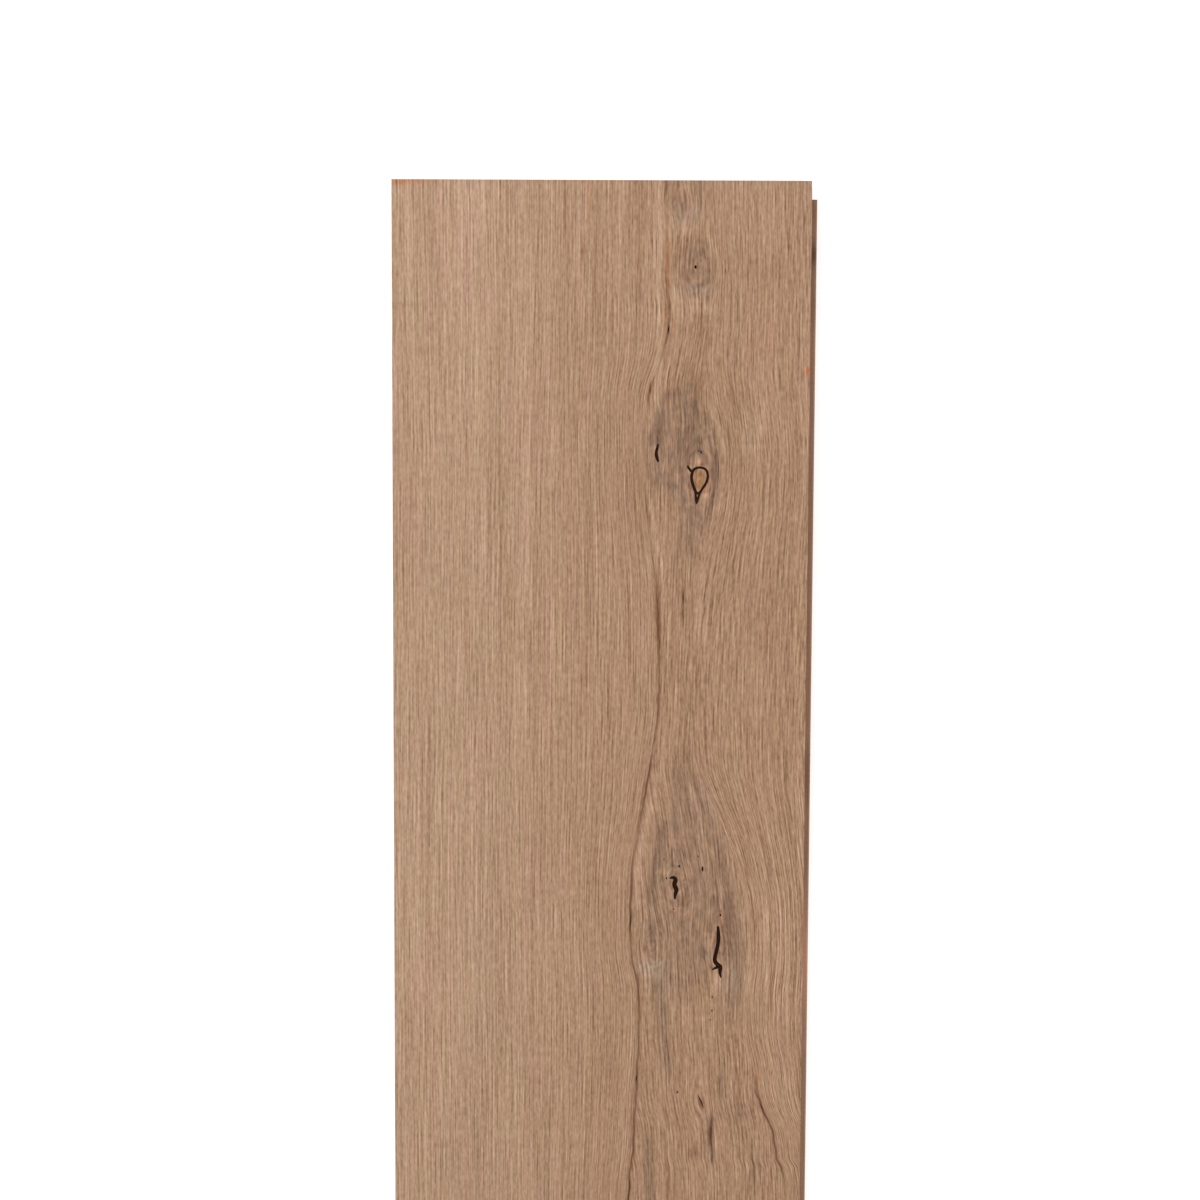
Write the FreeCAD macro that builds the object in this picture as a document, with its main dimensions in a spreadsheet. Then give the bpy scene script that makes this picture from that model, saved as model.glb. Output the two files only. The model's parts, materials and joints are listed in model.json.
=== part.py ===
import FreeCAD, Part
import os
import Sketcher

# Wide plank oak floorboard: one piece of stock, tongued and grooved along its edges and across its ends.
#
# Frame, in millimetres: +X runs across the board towards the edge tongue, +Y runs along it towards the
# grooved end, and +Z points from the underside up to the face. The origin is on the underside, midway
# between the two edges of the face and midway between its two ends.

# Driving sizes in millimetres, one sheet cell each.
SIZES = {
    "face_width": 190,          # face from edge to edge, without the edge tongue
    "board_length": 1900,       # face from end to end, without the end tongue
    "thickness": 20,            # underside to face
    "wear_layer": 7.5,          # face down to the top of the tongue
    "tongue_thickness": 5,      # top to bottom of the tongue, on the edge and on the end
    "edge_tongue_length": 3,    # how far the edge tongue stands out
    "end_tongue_length": 7.5,   # how far the end tongue stands out
    "tongue_nose": 0.6,         # lead-in chamfer on the tongue's two long corners
    "joint_play": 0.15,         # room between tongue and groove, above and below
    "groove_clearance": 0.5,    # room between a tongue's nose and the bottom of its groove
    "lip_setback": 0.4,         # lower groove lip cut short, so that the faces close first
    "face_bevel": 0.5,          # eased corner all round the face
    "relief_depth": 3,          # depth of the grooves along the underside
    "relief_mouth": 8,          # their width at the underside
    "relief_floor": 6,          # their width at the bottom
    "relief_pitch": 20,         # their spacing, centre to centre
    "relief_margin": 16,        # least flat land left between the outer grooves and the board's edges
}

# Places worked out from the driving sizes, as expressions for sketches and features.
HALF_WIDTH = "sizes.face_width / 2"
HALF_LENGTH = "sizes.board_length / 2"
FACE = "sizes.thickness"
TONGUE_TOP = "sizes.thickness - sizes.wear_layer"
TONGUE_BOTTOM = f"{TONGUE_TOP} - sizes.tongue_thickness"
GROOVE_TOP = f"{TONGUE_TOP} + sizes.joint_play"
GROOVE_BOTTOM = f"{TONGUE_BOTTOM} - sizes.joint_play"
EDGE_GROOVE_DEPTH = "sizes.edge_tongue_length + sizes.groove_clearance"
END_GROOVE_DEPTH = "sizes.end_tongue_length + sizes.groove_clearance"
END_NOSE = f"{HALF_LENGTH} + sizes.end_tongue_length"
# Cutting sketches run past the stock by the board's own thickness.
ABOVE_FACE = "2 * sizes.thickness"
BELOW_UNDERSIDE = "-sizes.thickness"
PAST_END = f"{END_NOSE} + sizes.thickness"
# As many relief grooves as the width has room for, spread evenly about the middle.
RELIEF_GAPS = (
    "floor((sizes.face_width - 2 * sizes.relief_margin - sizes.relief_mouth) / sizes.relief_pitch)"
)
RELIEF_SPAN = f"{RELIEF_GAPS} * sizes.relief_pitch"
FIRST_RELIEF = f"-({RELIEF_SPAN}) / 2"


def make_sheet(doc):
    """Keep the driving sizes in a sheet, each in a cell whose alias is its name."""
    sheet = doc.addObject("Spreadsheet::Sheet", "sizes")
    for row, (name, size) in enumerate(SIZES.items(), start=1):
        sheet.set(f"A{row}", name)
        sheet.set(f"B{row}", str(size))
        sheet.setAlias(f"B{row}", name)
    doc.recompute()


def origin_feature(body, role):
    """Return one of the body's own origin planes or axes."""
    return next(item for item in body.Origin.OriginFeatures if item.Role == role)


def dimension(sketch, kind, line, expression, size):
    """Set the start of a line off from the sketch's origin by an expression."""
    origin, start = (-1, 1), 1
    index = sketch.addConstraint(Sketcher.Constraint(kind, *origin, line, start, size))
    sketch.setExpression(f"Constraints[{index}]", expression)


def profile(body, name, plane, *loops):
    """Sketch closed loops of straight lines, whose corners are pairs of expressions.

    A line between corners with the same expression is held level or upright, and every other
    corner is dimensioned from the origin, so the sketch is fully constrained.
    """
    sketch = body.newObject("Sketcher::SketchObject", name)
    sketch.AttachmentSupport = (origin_feature(body, plane), "")
    sketch.MapMode = "FlatFace"
    start, end = 1, 2
    for corners in loops:
        places = [FreeCAD.Vector(*(sketch.evalExpression(side) for side in corner)) for corner in corners]
        lines = [
            sketch.addGeometry(Part.LineSegment(place, following))
            for place, following in zip(places, places[1:] + places[:1])
        ]
        for here in range(len(lines)):
            before = here - 1
            line, incoming = lines[here], lines[before]
            sketch.addConstraint(Sketcher.Constraint("Coincident", incoming, end, line, start))
            if corners[here][0] == corners[before][0]:
                sketch.addConstraint(Sketcher.Constraint("Vertical", incoming))
            else:
                dimension(sketch, "DistanceX", line, corners[here][0], places[here].x)
            if corners[here][1] == corners[before][1]:
                sketch.addConstraint(Sketcher.Constraint("Horizontal", incoming))
            else:
                dimension(sketch, "DistanceY", line, corners[here][1], places[here].y)
    return sketch


def plank_section(body):
    """Draw the moulded section: tongue on the +X edge, groove on the -X edge."""
    tongue_nose = f"{HALF_WIDTH} + sizes.edge_tongue_length"
    tongue_shoulder = f"{tongue_nose} - sizes.tongue_nose"
    lower_lip = f"-{HALF_WIDTH} + sizes.lip_setback"
    groove_floor = f"-{HALF_WIDTH} + {EDGE_GROOVE_DEPTH}"
    return profile(
        body, "plank_section", "XZ_Plane",
        [
            (lower_lip, "0"),
            (HALF_WIDTH, "0"),
            (HALF_WIDTH, TONGUE_BOTTOM),
            (tongue_shoulder, TONGUE_BOTTOM),
            (tongue_nose, f"{TONGUE_BOTTOM} + sizes.tongue_nose"),
            (tongue_nose, f"{TONGUE_TOP} - sizes.tongue_nose"),
            (tongue_shoulder, TONGUE_TOP),
            (HALF_WIDTH, TONGUE_TOP),
            (HALF_WIDTH, FACE),
            (f"-{HALF_WIDTH}", FACE),
            (f"-{HALF_WIDTH}", GROOVE_TOP),
            (groove_floor, GROOVE_TOP),
            (groove_floor, GROOVE_BOTTOM),
            (lower_lip, GROOVE_BOTTOM),
        ],
    )


def plank(body):
    """Run the section along the board, with stock left at -Y for the end tongue."""
    pad = body.newObject("PartDesign::Pad", "plank")
    pad.Profile = plank_section(body)
    pad.SideType = "Two sides"
    pad.setExpression("Length", END_NOSE)
    pad.setExpression("Length2", HALF_LENGTH)
    return pad


def cut_through(body, name, sketch):
    """Cut a sketch right through the board, both ways from its plane."""
    pocket = body.newObject("PartDesign::Pocket", name)
    pocket.Profile = sketch
    pocket.Type = "ThroughAll"
    pocket.Midplane = True
    return pocket


def end_groove(body):
    """Cut the groove across the +Y end, through the edge tongue, and shorten its lower lip."""
    groove_floor = f"{HALF_LENGTH} - ({END_GROOVE_DEPTH})"
    lower_lip = f"{HALF_LENGTH} - sizes.lip_setback"
    sketch = profile(
        body, "end_groove_section", "YZ_Plane",
        [
            (groove_floor, GROOVE_TOP),
            (groove_floor, GROOVE_BOTTOM),
            (lower_lip, GROOVE_BOTTOM),
            (lower_lip, BELOW_UNDERSIDE),
            (PAST_END, BELOW_UNDERSIDE),
            (PAST_END, GROOVE_TOP),
        ],
    )
    return cut_through(body, "end_groove", sketch)


def end_tongue(body):
    """Cut the shoulders above and below the tongue on the -Y end."""
    shoulder = f"-{HALF_LENGTH}"
    nose = f"-({END_NOSE})"
    nose_start = f"{nose} + sizes.tongue_nose"
    past_nose = f"-({PAST_END})"
    upper_nose = f"{TONGUE_TOP} - sizes.tongue_nose"
    lower_nose = f"{TONGUE_BOTTOM} + sizes.tongue_nose"
    sketch = profile(
        body, "end_tongue_shoulders", "YZ_Plane",
        [
            (shoulder, TONGUE_TOP),
            (shoulder, ABOVE_FACE),
            (past_nose, ABOVE_FACE),
            (past_nose, upper_nose),
            (nose, upper_nose),
            (nose_start, TONGUE_TOP),
        ],
        [
            (shoulder, TONGUE_BOTTOM),
            (nose_start, TONGUE_BOTTOM),
            (nose, lower_nose),
            (past_nose, lower_nose),
            (past_nose, BELOW_UNDERSIDE),
            (shoulder, BELOW_UNDERSIDE),
        ],
    )
    return cut_through(body, "end_tongue", sketch)


def eased_face(body, base):
    """Chamfer all the edges of the face, the highest side of the board."""
    heights = [side.BoundBox.ZMin for side in base.Shape.Faces]
    face = heights.index(max(heights)) + 1
    chamfer = body.newObject("PartDesign::Chamfer", "eased_face")
    chamfer.Base = (base, [f"Face{face}"])
    chamfer.setExpression("Size", "sizes.face_bevel")
    return chamfer


def relief_grooves(body):
    """Cut shallow grooves along the underside, which let the board stay flat."""
    sketch = profile(
        body, "relief_section", "XZ_Plane",
        [
            (f"{FIRST_RELIEF} - sizes.relief_mouth / 2", "0"),
            (f"{FIRST_RELIEF} + sizes.relief_mouth / 2", "0"),
            (f"{FIRST_RELIEF} + sizes.relief_floor / 2", "sizes.relief_depth"),
            (f"{FIRST_RELIEF} - sizes.relief_floor / 2", "sizes.relief_depth"),
        ],
    )
    pocket = cut_through(body, "relief_groove", sketch)
    pattern = body.newObject("PartDesign::LinearPattern", "relief_grooves")
    pattern.Originals = [pocket]
    pattern.Direction = (origin_feature(body, "X_Axis"), [""])
    pattern.setExpression("Length", RELIEF_SPAN)
    pattern.setExpression("Occurrences", f"{RELIEF_GAPS} + 1")
    body.Tip = pattern
    return pocket, pattern


def check(doc, cuts):
    """Stop if an object failed, a cut took nothing away or the solid isn't whole."""
    for item in doc.Objects:
        if "Invalid" in item.State or "Error" in item.State:
            raise RuntimeError(f"{item.Label} failed: {item.State}")
    for before, after in zip(cuts, cuts[1:]):
        if not after.Shape.Volume < before.Shape.Volume:
            raise RuntimeError(f"{after.Label} cut nothing")
    for body in doc.findObjects("PartDesign::Body"):
        shape = body.Shape
        if shape.isNull() or not shape.isValid() or len(shape.Solids) != 1:
            raise RuntimeError(f"{body.Label} isn't one valid solid")


def main():
    """Build the floorboard and write it out."""
    doc = FreeCAD.newDocument("floorboard")
    make_sheet(doc)
    body = doc.addObject("PartDesign::Body", "floorboard")
    body.Label = "floorboard"
    stages = [plank(body), end_groove(body), end_tongue(body)]
    doc.recompute()
    stages.append(eased_face(body, stages[-1]))
    stages.extend(relief_grooves(body))
    doc.recompute()
    check(doc, stages)
    os.makedirs("parts", exist_ok=True)
    body.Shape.exportStep(f"parts/{body.Label}.step")
    box = body.Shape.BoundBox
    print(f"{body.Label}: {box.XLength:.2f} x {box.YLength:.2f} x {box.ZLength:.2f} mm")
    print(f"volume {body.Shape.Volume:.0f} mm3")


main()
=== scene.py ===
"""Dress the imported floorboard: a brushed oak face with knots and checks, machined joints, a white studio.

Places on the face are given in millimetres: "across" runs from the middle of the board towards the
edge tongue, and "along" is the distance from the grooved end.
"""

from __future__ import annotations

import json
import logging
import math
from dataclasses import dataclass, field
from enum import Enum, IntEnum
from typing import ClassVar, Iterable, Iterator, Sequence

import bmesh
import bpy
from mathutils import Matrix, Vector, noise

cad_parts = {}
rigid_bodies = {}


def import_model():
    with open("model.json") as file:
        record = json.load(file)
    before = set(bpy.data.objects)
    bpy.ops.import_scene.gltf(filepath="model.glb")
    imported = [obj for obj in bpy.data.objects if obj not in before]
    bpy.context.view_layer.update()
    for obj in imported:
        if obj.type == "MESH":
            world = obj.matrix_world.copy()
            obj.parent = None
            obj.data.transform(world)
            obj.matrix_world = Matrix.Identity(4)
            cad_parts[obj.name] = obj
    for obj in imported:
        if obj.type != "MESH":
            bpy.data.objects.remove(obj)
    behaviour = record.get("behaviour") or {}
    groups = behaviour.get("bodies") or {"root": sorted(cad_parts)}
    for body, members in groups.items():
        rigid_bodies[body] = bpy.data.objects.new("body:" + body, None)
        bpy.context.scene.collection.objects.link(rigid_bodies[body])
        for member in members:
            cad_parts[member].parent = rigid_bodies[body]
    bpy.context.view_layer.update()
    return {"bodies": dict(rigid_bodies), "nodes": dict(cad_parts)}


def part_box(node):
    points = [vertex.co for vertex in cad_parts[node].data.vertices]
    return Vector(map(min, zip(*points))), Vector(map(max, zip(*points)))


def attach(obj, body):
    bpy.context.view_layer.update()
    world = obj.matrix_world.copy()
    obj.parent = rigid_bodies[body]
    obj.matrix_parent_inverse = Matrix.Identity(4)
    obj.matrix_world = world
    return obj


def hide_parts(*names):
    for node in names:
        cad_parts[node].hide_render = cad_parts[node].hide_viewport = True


LOG = logging.getLogger("floorboard")
MM = 0.001

Colour = tuple[float, float, float]


class Value:
    """A shader socket whose numbers take part in Python arithmetic."""

    def __init__(self, graph: Graph, socket: bpy.types.NodeSocket | None) -> None:
        """Wrap one output socket of a graph."""
        self.graph = graph
        self.socket = socket

    def __add__(self, other: Operand) -> Value:
        """Add a value or a number."""
        return self.graph.math("ADD", self, other)

    def __sub__(self, other: Operand) -> Value:
        """Take a value or a number away."""
        return self.graph.math("SUBTRACT", self, other)

    def __rsub__(self, other: Operand) -> Value:
        """Take this value away from a number."""
        return self.graph.math("SUBTRACT", other, self)

    def __mul__(self, other: Operand) -> Value:
        """Multiply by a value or a number."""
        return self.graph.math("MULTIPLY", self, other)

    def __truediv__(self, other: Operand) -> Value:
        """Divide by a value or a number."""
        return self.graph.math("DIVIDE", self, other)

    def __rtruediv__(self, other: Operand) -> Value:
        """Divide a number by this value."""
        return self.graph.math("DIVIDE", other, self)

    def __rpow__(self, base: float) -> Value:
        """Raise a number to the power of this value."""
        return self.graph.math("POWER", base, self)

    def __gt__(self, other: Operand) -> Value:
        """Give 1 where this value is the larger one, and 0 elsewhere."""
        return self.graph.math("GREATER_THAN", self, other)

    def __lt__(self, other: Operand) -> Value:
        """Give 1 where this value is the smaller one, and 0 elsewhere."""
        return self.graph.math("LESS_THAN", self, other)

    __radd__ = __add__
    __rmul__ = __mul__

    def root(self) -> Value:
        """Take the square root."""
        return self.graph.math("SQRT", self)

    def sine(self) -> Value:
        """Take the sine of an angle in radians."""
        return self.graph.math("SINE", self)

    def capped(self, top: float = 1.0) -> Value:
        """Keep the value between 0 and a top."""
        return self.graph.math("MINIMUM", self.graph.math("MAXIMUM", self, 0.0), top)

    def bell(self, width: float) -> Value:
        """Fall from 1 at zero, over about a width each way."""
        scaled = self / width
        return math.exp(-1) ** (scaled * scaled)

    def ramp(self, start: float, end: float) -> Value:
        """Rise smoothly from 0 to 1.

        Args:
            start: Where the rise starts.
            end: Where it ends.

        Returns:
            The level between 0 and 1.
        """
        settings = {"interpolation_type": "SMOOTHSTEP"}
        sockets = {"Value": self, "From Min": start, "From Max": end}
        return self.graph.add("ShaderNodeMapRange", settings, sockets)


Operand = Value | float


class Graph:
    """The node tree of one new material."""

    MIX_FACTOR, MIX_FIRST, MIX_SECOND, MIX_COLOUR = 0, 6, 7, 2

    def __init__(self, name: str) -> None:
        """Start an empty material.

        Args:
            name: The material's name.
        """
        self.material = bpy.data.materials.new(name)
        self.material.use_nodes = True
        self.tree = self.material.node_tree
        self.tree.nodes.clear()

    def add(
        self,
        kind: str,
        settings: dict[str, object] | None = None,
        sockets: dict[str | int, object] | None = None,
        output: str | int = 0,
    ) -> Value:
        """Add a node, set it up and link it.

        Args:
            kind: The node's type.
            settings: Its properties, with "stops" for a colour ramp and "curve" for a float curve.
            sockets: A number, colour, vector or value for each input socket.
            output: The output socket that is handed on.

        Returns:
            The chosen output, or a value without a socket for a node that has no outputs.
        """
        node = self.tree.nodes.new(kind)
        for name, setting in (settings or {}).items():
            if name == "stops":
                self.set_stops(node.color_ramp, setting)
            elif name == "curve":
                self.set_curve(node.mapping, setting)
            else:
                setattr(node, name, setting)
        for name, content in (sockets or {}).items():
            if isinstance(content, Value):
                self.tree.links.new(content.socket, node.inputs[name])
            else:
                node.inputs[name].default_value = content
        return Value(self, node.outputs[output] if node.outputs else None)

    @staticmethod
    def set_stops(ramp: bpy.types.ColorRamp, stops: Sequence[tuple[float, Colour]]) -> None:
        """Give a colour ramp its stops.

        Args:
            ramp: The ramp.
            stops: Positions with their colours, from left to right.
        """
        while len(ramp.elements) < len(stops):
            ramp.elements.new(1.0)
        for element, (position, colour) in zip(ramp.elements, stops):
            element.position = position
            element.color = (*colour, 1.0)

    @staticmethod
    def set_curve(mapping: bpy.types.CurveMapping, places: Sequence[tuple[float, float]]) -> None:
        """Run a float curve smoothly from place to place.

        Args:
            mapping: The curve.
            places: Its points, from left to right.
        """
        mapping.use_clip = False
        mapping.extend = "HORIZONTAL"
        points = mapping.curves[0].points
        while len(points) < len(places):
            points.new(1.0, 1.0)
        for point, place in zip(points, places):
            point.location = place
            point.handle_type = "AUTO_CLAMPED"
        mapping.update()

    def math(self, operation: str, *operands: Operand) -> Value:
        """Add a Math node."""
        return self.add("ShaderNodeMath", {"operation": operation}, dict(enumerate(operands)))

    def vector(self, operation: str, *operands: object, output: str | int = 0) -> Value:
        """Add a Vector Math node."""
        return self.add("ShaderNodeVectorMath", {"operation": operation}, dict(enumerate(operands)), output)

    def combined(self, *parts: Operand) -> Value:
        """Make a vector of up to three values."""
        return self.add("ShaderNodeCombineXYZ", None, dict(enumerate(parts)))

    def split(self, vector: Value) -> tuple[Value, Value, Value]:
        """Take a vector apart.

        Args:
            vector: The vector.

        Returns:
            Its three parts.
        """
        first = self.add("ShaderNodeSeparateXYZ", None, {0: vector})
        outputs = first.socket.node.outputs
        return first, Value(self, outputs[1]), Value(self, outputs[2])

    def tint(self, colour: Value, tint: Colour, mask: Value) -> Value:
        """Multiply a colour by a tint.

        Args:
            colour: The colour.
            tint: A factor for red, green and blue.
            mask: How far the tint shows, from 0 to 1.

        Returns:
            The tinted colour.
        """
        settings = {"data_type": "RGBA", "blend_type": "MULTIPLY"}
        sockets = {self.MIX_FACTOR: mask, self.MIX_FIRST: colour, self.MIX_SECOND: (*tint, 1.0)}
        return self.add("ShaderNodeMix", settings, sockets, self.MIX_COLOUR)

    def streaks(self, place: Value, streak: Streak, space: str = "2D") -> Value:
        """Make noise about zero, mostly within a streak's strength, from a place in millimetres.

        Args:
            place: The place as a vector, across and along first.
            streak: The size, strength and seed of the noise.
            space: "2D" where the vector's third part counts for nothing, or else "3D".

        Returns:
            The noise.
        """
        gain, drop = 4, 2
        shrink = (1 / streak.width, 1 / streak.length, 1 / streak.width)
        spread = self.vector("MULTIPLY_ADD", place, shrink, (streak.seed, streak.seed, streak.seed))
        sockets = {"Vector": spread, "Scale": 1.0, "Detail": streak.detail, "Roughness": 1.0}
        level = self.add("ShaderNodeTexNoise", {"noise_dimensions": space}, sockets)
        return (level * gain - drop) * streak.strength

    def surface(self, shader: Value) -> bpy.types.Material:
        """Finish the material with a shader."""
        self.add("ShaderNodeOutputMaterial", None, {"Surface": shader})
        return self.material


def linear(red: int, green: int, blue: int) -> Colour:
    """Turn a screen colour into a linear one.

    Args:
        red: The red level, 0 to 255.
        green: The green level.
        blue: The blue level.

    Returns:
        The three linear levels, 0 to 1.
    """
    def decode(level: int) -> float:
        """Undo the screen's curve."""
        share = level / 255
        return share / 12.92 if share <= 0.04045 else ((share + 0.055) / 1.055) ** 2.4

    return decode(red), decode(green), decode(blue)


class Stain(Enum):
    """What a mark does to the oak's colour: a linear factor for red, green and blue."""

    GREY = (0.62, 0.60, 0.612)
    ASH = (1.04, 1.16, 1.29)
    SLATE = (0.28, 0.245, 0.235)
    BROWN = (0.70, 0.61, 0.53)
    PALE = (1.21, 1.28, 1.35)
    PINK = (1.50, 1.42, 1.54)
    ROSE = (1.08, 0.98, 1.04)
    STRAW = (1.02, 1.01, 0.92)
    WARM = (1.00, 0.965, 0.93)
    HONEY = (1.55, 1.31, 0.89)
    AMBER = (1.04, 0.72, 0.46)
    ORANGE = (1.50, 0.60, 0.16)
    RUST = (0.62, 0.46, 0.34)
    UMBER = (0.36, 0.26, 0.19)


@dataclass(frozen=True)
class Oval:
    """An oval place on the face, in millimetres."""

    across: float
    along: float
    half_width: float
    half_length: float

    @property
    def reach(self) -> float:
        """Return how far the oval reaches along the face from its place."""
        return self.half_length


@dataclass(frozen=True)
class Mark(Oval):
    """A soft oval mark on the face."""

    strength: float
    stain: Stain


@dataclass(frozen=True)
class Eye(Mark):
    """An almond of darker wood round the knots, which is longer below its widest place than above it."""

    fall: float

    @property
    def reach(self) -> float:
        """Return how far the almond reaches along the face from its widest place."""
        return max(self.half_length, self.fall)


@dataclass(frozen=True)
class Knot(Oval):
    """A place that the grain bends round, with the strength of the rings that show there."""

    ripple: float = 0.0


@dataclass(frozen=True)
class Stroke:
    """A soft line on the face, by its place across at distances along, in millimetres."""

    places: tuple[tuple[float, float], ...]
    half_width: float
    strength: float
    stain: Stain


@dataclass(frozen=True)
class Streak:
    """A kind of streak along the grain: its width and length in millimetres and how far it shows.

    The seed keeps one kind apart from the next, and the detail is how many finer layers it has.
    """

    width: float
    length: float
    strength: float
    seed: float
    detail: float = 0.0


@dataclass(frozen=True)
class Lines:
    """Lines along the grain: their spacing in millimetres, and how far they stray in turns."""

    spacing: float
    stray: float


@dataclass(frozen=True)
class Stretch:
    """A part of the face with a finish of its own, by its bounds across and along in millimetres."""

    left: float
    right: float
    start: float
    stop: float

    def holds(self, across: float, along: float) -> bool:
        """Tell whether a place is on this part."""
        return self.left <= across < self.right and self.start <= along < self.stop

    def meets(self, places: Iterable[tuple[float, float]], aside: float, beyond: float) -> bool:
        """Tell whether a mark shows on this part.

        Args:
            places: The mark's places along and across.
            aside: How far it reaches to either side of them.
            beyond: How far it reaches past them along the face.

        Returns:
            Whether any of it does.
        """
        alongs, acrosses = zip(*places)
        lengthwise = min(alongs) - beyond < self.stop and max(alongs) + beyond > self.start
        return lengthwise and min(acrosses) - aside < self.right and max(acrosses) + aside > self.left


@dataclass(frozen=True)
class Crack:
    """A filled crack: its places across and along, each with its half width, in millimetres."""

    places: tuple[tuple[float, float, float], ...]
    closed: bool = False


@dataclass(frozen=True)
class Course:
    """A line that follows the grain, by its place across the board at distances along it."""

    stations: tuple[tuple[float, float], ...]

    def across(self, along: float) -> float:
        """Return the line's place across the board.

        Args:
            along: The distance from the grooved end, in millimetres.

        Returns:
            The place, on a straight run between the stations on either side.
        """
        for (start, first), (end, second) in zip(self.stations, self.stations[1:]):
            if along <= end:
                return first + (second - first) * max(along - start, 0) / (end - start)
        return self.stations[-1][1]

    def least(self) -> float:
        """Return the smallest of the places across."""
        return min(across for _, across in self.stations)


class Heart:
    """The knotty streak along the face, between two lines that the grain follows."""

    # How far along and across the courses below may run, in millimetres.
    REACH = 960.0
    WIDTH = 100.0
    # Where the two lines would run without knots, and over how far the grain beside them eases back.
    REST_LEFT = 30.0
    REST_RIGHT = 47.0
    EASE_LEFT = 13.0
    EASE_RIGHT = 28.0
    # How far the grain is pushed aside in the middle of a knot.
    SWIRL = 0.5

    LEFT = Course((
        (0, 28.7), (18, 29.3), (36, 29.9), (50, 30.2), (58, 31.0), (66, 30.7), (73, 29.4), (80, 27.7),
        (87, 24.8), (93, 22.5), (100, 21.3), (116, 20.6), (141, 20.9), (161, 22.8), (180, 25.3),
        (196, 26.5), (218, 27.3), (238, 27.3), (250, 26.2), (262, 24.2), (277, 22.0), (289, 20.0),
        (305, 17.0), (318, 15.4), (336, 14.9), (350, 14.9), (358, 15.7), (366, 17.4), (375, 18.8),
        (385, 19.0), (408, 18.5), (422, 17.5), (449, 16.5), (460, 15.3), (474, 14.5), (520, 12.5),
        (580, 17.0), (660, 25.0), (760, 28.5), (960, 30.0),
    ))
    RIGHT = Course((
        (0, 47.0), (50, 48.5), (80, 47.5), (96, 49.5), (111, 52.5), (126, 54.0), (143, 53.0), (163, 49.5),
        (181, 46.0), (200, 44.0), (235, 43.0), (261, 44.0), (278, 49.0), (298, 58.0), (318, 64.5),
        (336, 68.5), (358, 69.5), (378, 68.0), (391, 68.5), (408, 72.0), (421, 74.0), (430, 77.0),
        (438, 81.0), (448, 83.2), (454, 84.0), (458, 86.5), (475, 88.5), (510, 90.0), (560, 85.0),
        (620, 71.0), (700, 54.0), (800, 48.0), (960, 47.0),
    ))
    LEFT_CHECK = Course((
        (0, 0.55), (10, 0.40), (20, 0.15), (45, 0.25), (54, 0.60), (58, 0.90), (62, 0.35), (65, 0.80),
        (67, 1.0), (71, 0.50), (80, 0.25), (87, 0.15), (91, 0.55), (96, 0.60), (100, 0.25), (120, 0.10),
        (140, 0.20), (150, 0.50), (158, 0.20), (176, 0.25), (190, 0.75), (205, 0.95), (222, 0.65),
        (240, 0.80), (250, 0.45), (262, 0.55), (276, 0.95), (290, 0.80), (306, 0.50), (322, 0.60),
        (336, 0.90), (344, 0.90), (352, 0.65), (364, 0.75), (378, 0.95), (386, 0.80), (405, 0.65),
        (414, 0.95), (424, 0.75), (448, 0.95), (456, 0.75), (468, 0.95), (500, 0.60), (560, 0.35),
        (660, 0.15), (760, 0.0), (960, 0.0),
    ))
    RIGHT_CHECK = Course((
        (0, 0.0), (404, 0.0), (410, 0.35), (419, 0.45), (423, 0.95), (436, 1.0), (447, 0.95), (458, 0.85),
        (466, 0.25), (500, 0.10), (560, 0.0), (960, 0.0),
    ))
    KNOTS = (
        Knot(36.0, 11.0, 7.0, 10.0),
        Knot(43.5, 40.0, 8.0, 12.0, 0.030),
        Knot(25.5, 123.0, 4.5, 9.0),
        Knot(45.0, 133.0, 8.5, 16.0, 0.085),
        Knot(35.0, 323.0, 9.0, 14.0, 0.065),
        Knot(55.0, 353.0, 8.0, 18.0, 0.050),
        Knot(25.0, 352.0, 6.0, 9.0, 0.055),
        Knot(48.0, 427.0, 5.0, 8.0),
        Knot(58.0, 522.0, 10.0, 18.0, 0.020),
        Knot(36.0, 1182.0, 9.0, 17.0, 0.020),
        Knot(-38.0, 1585.0, 7.0, 14.0, 0.020),
    )
    # Where the grain is crowded together beside the lower eye, and stands out more.
    FLAME = Oval(86.0, 346.0, 17.0, 60.0)


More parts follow.
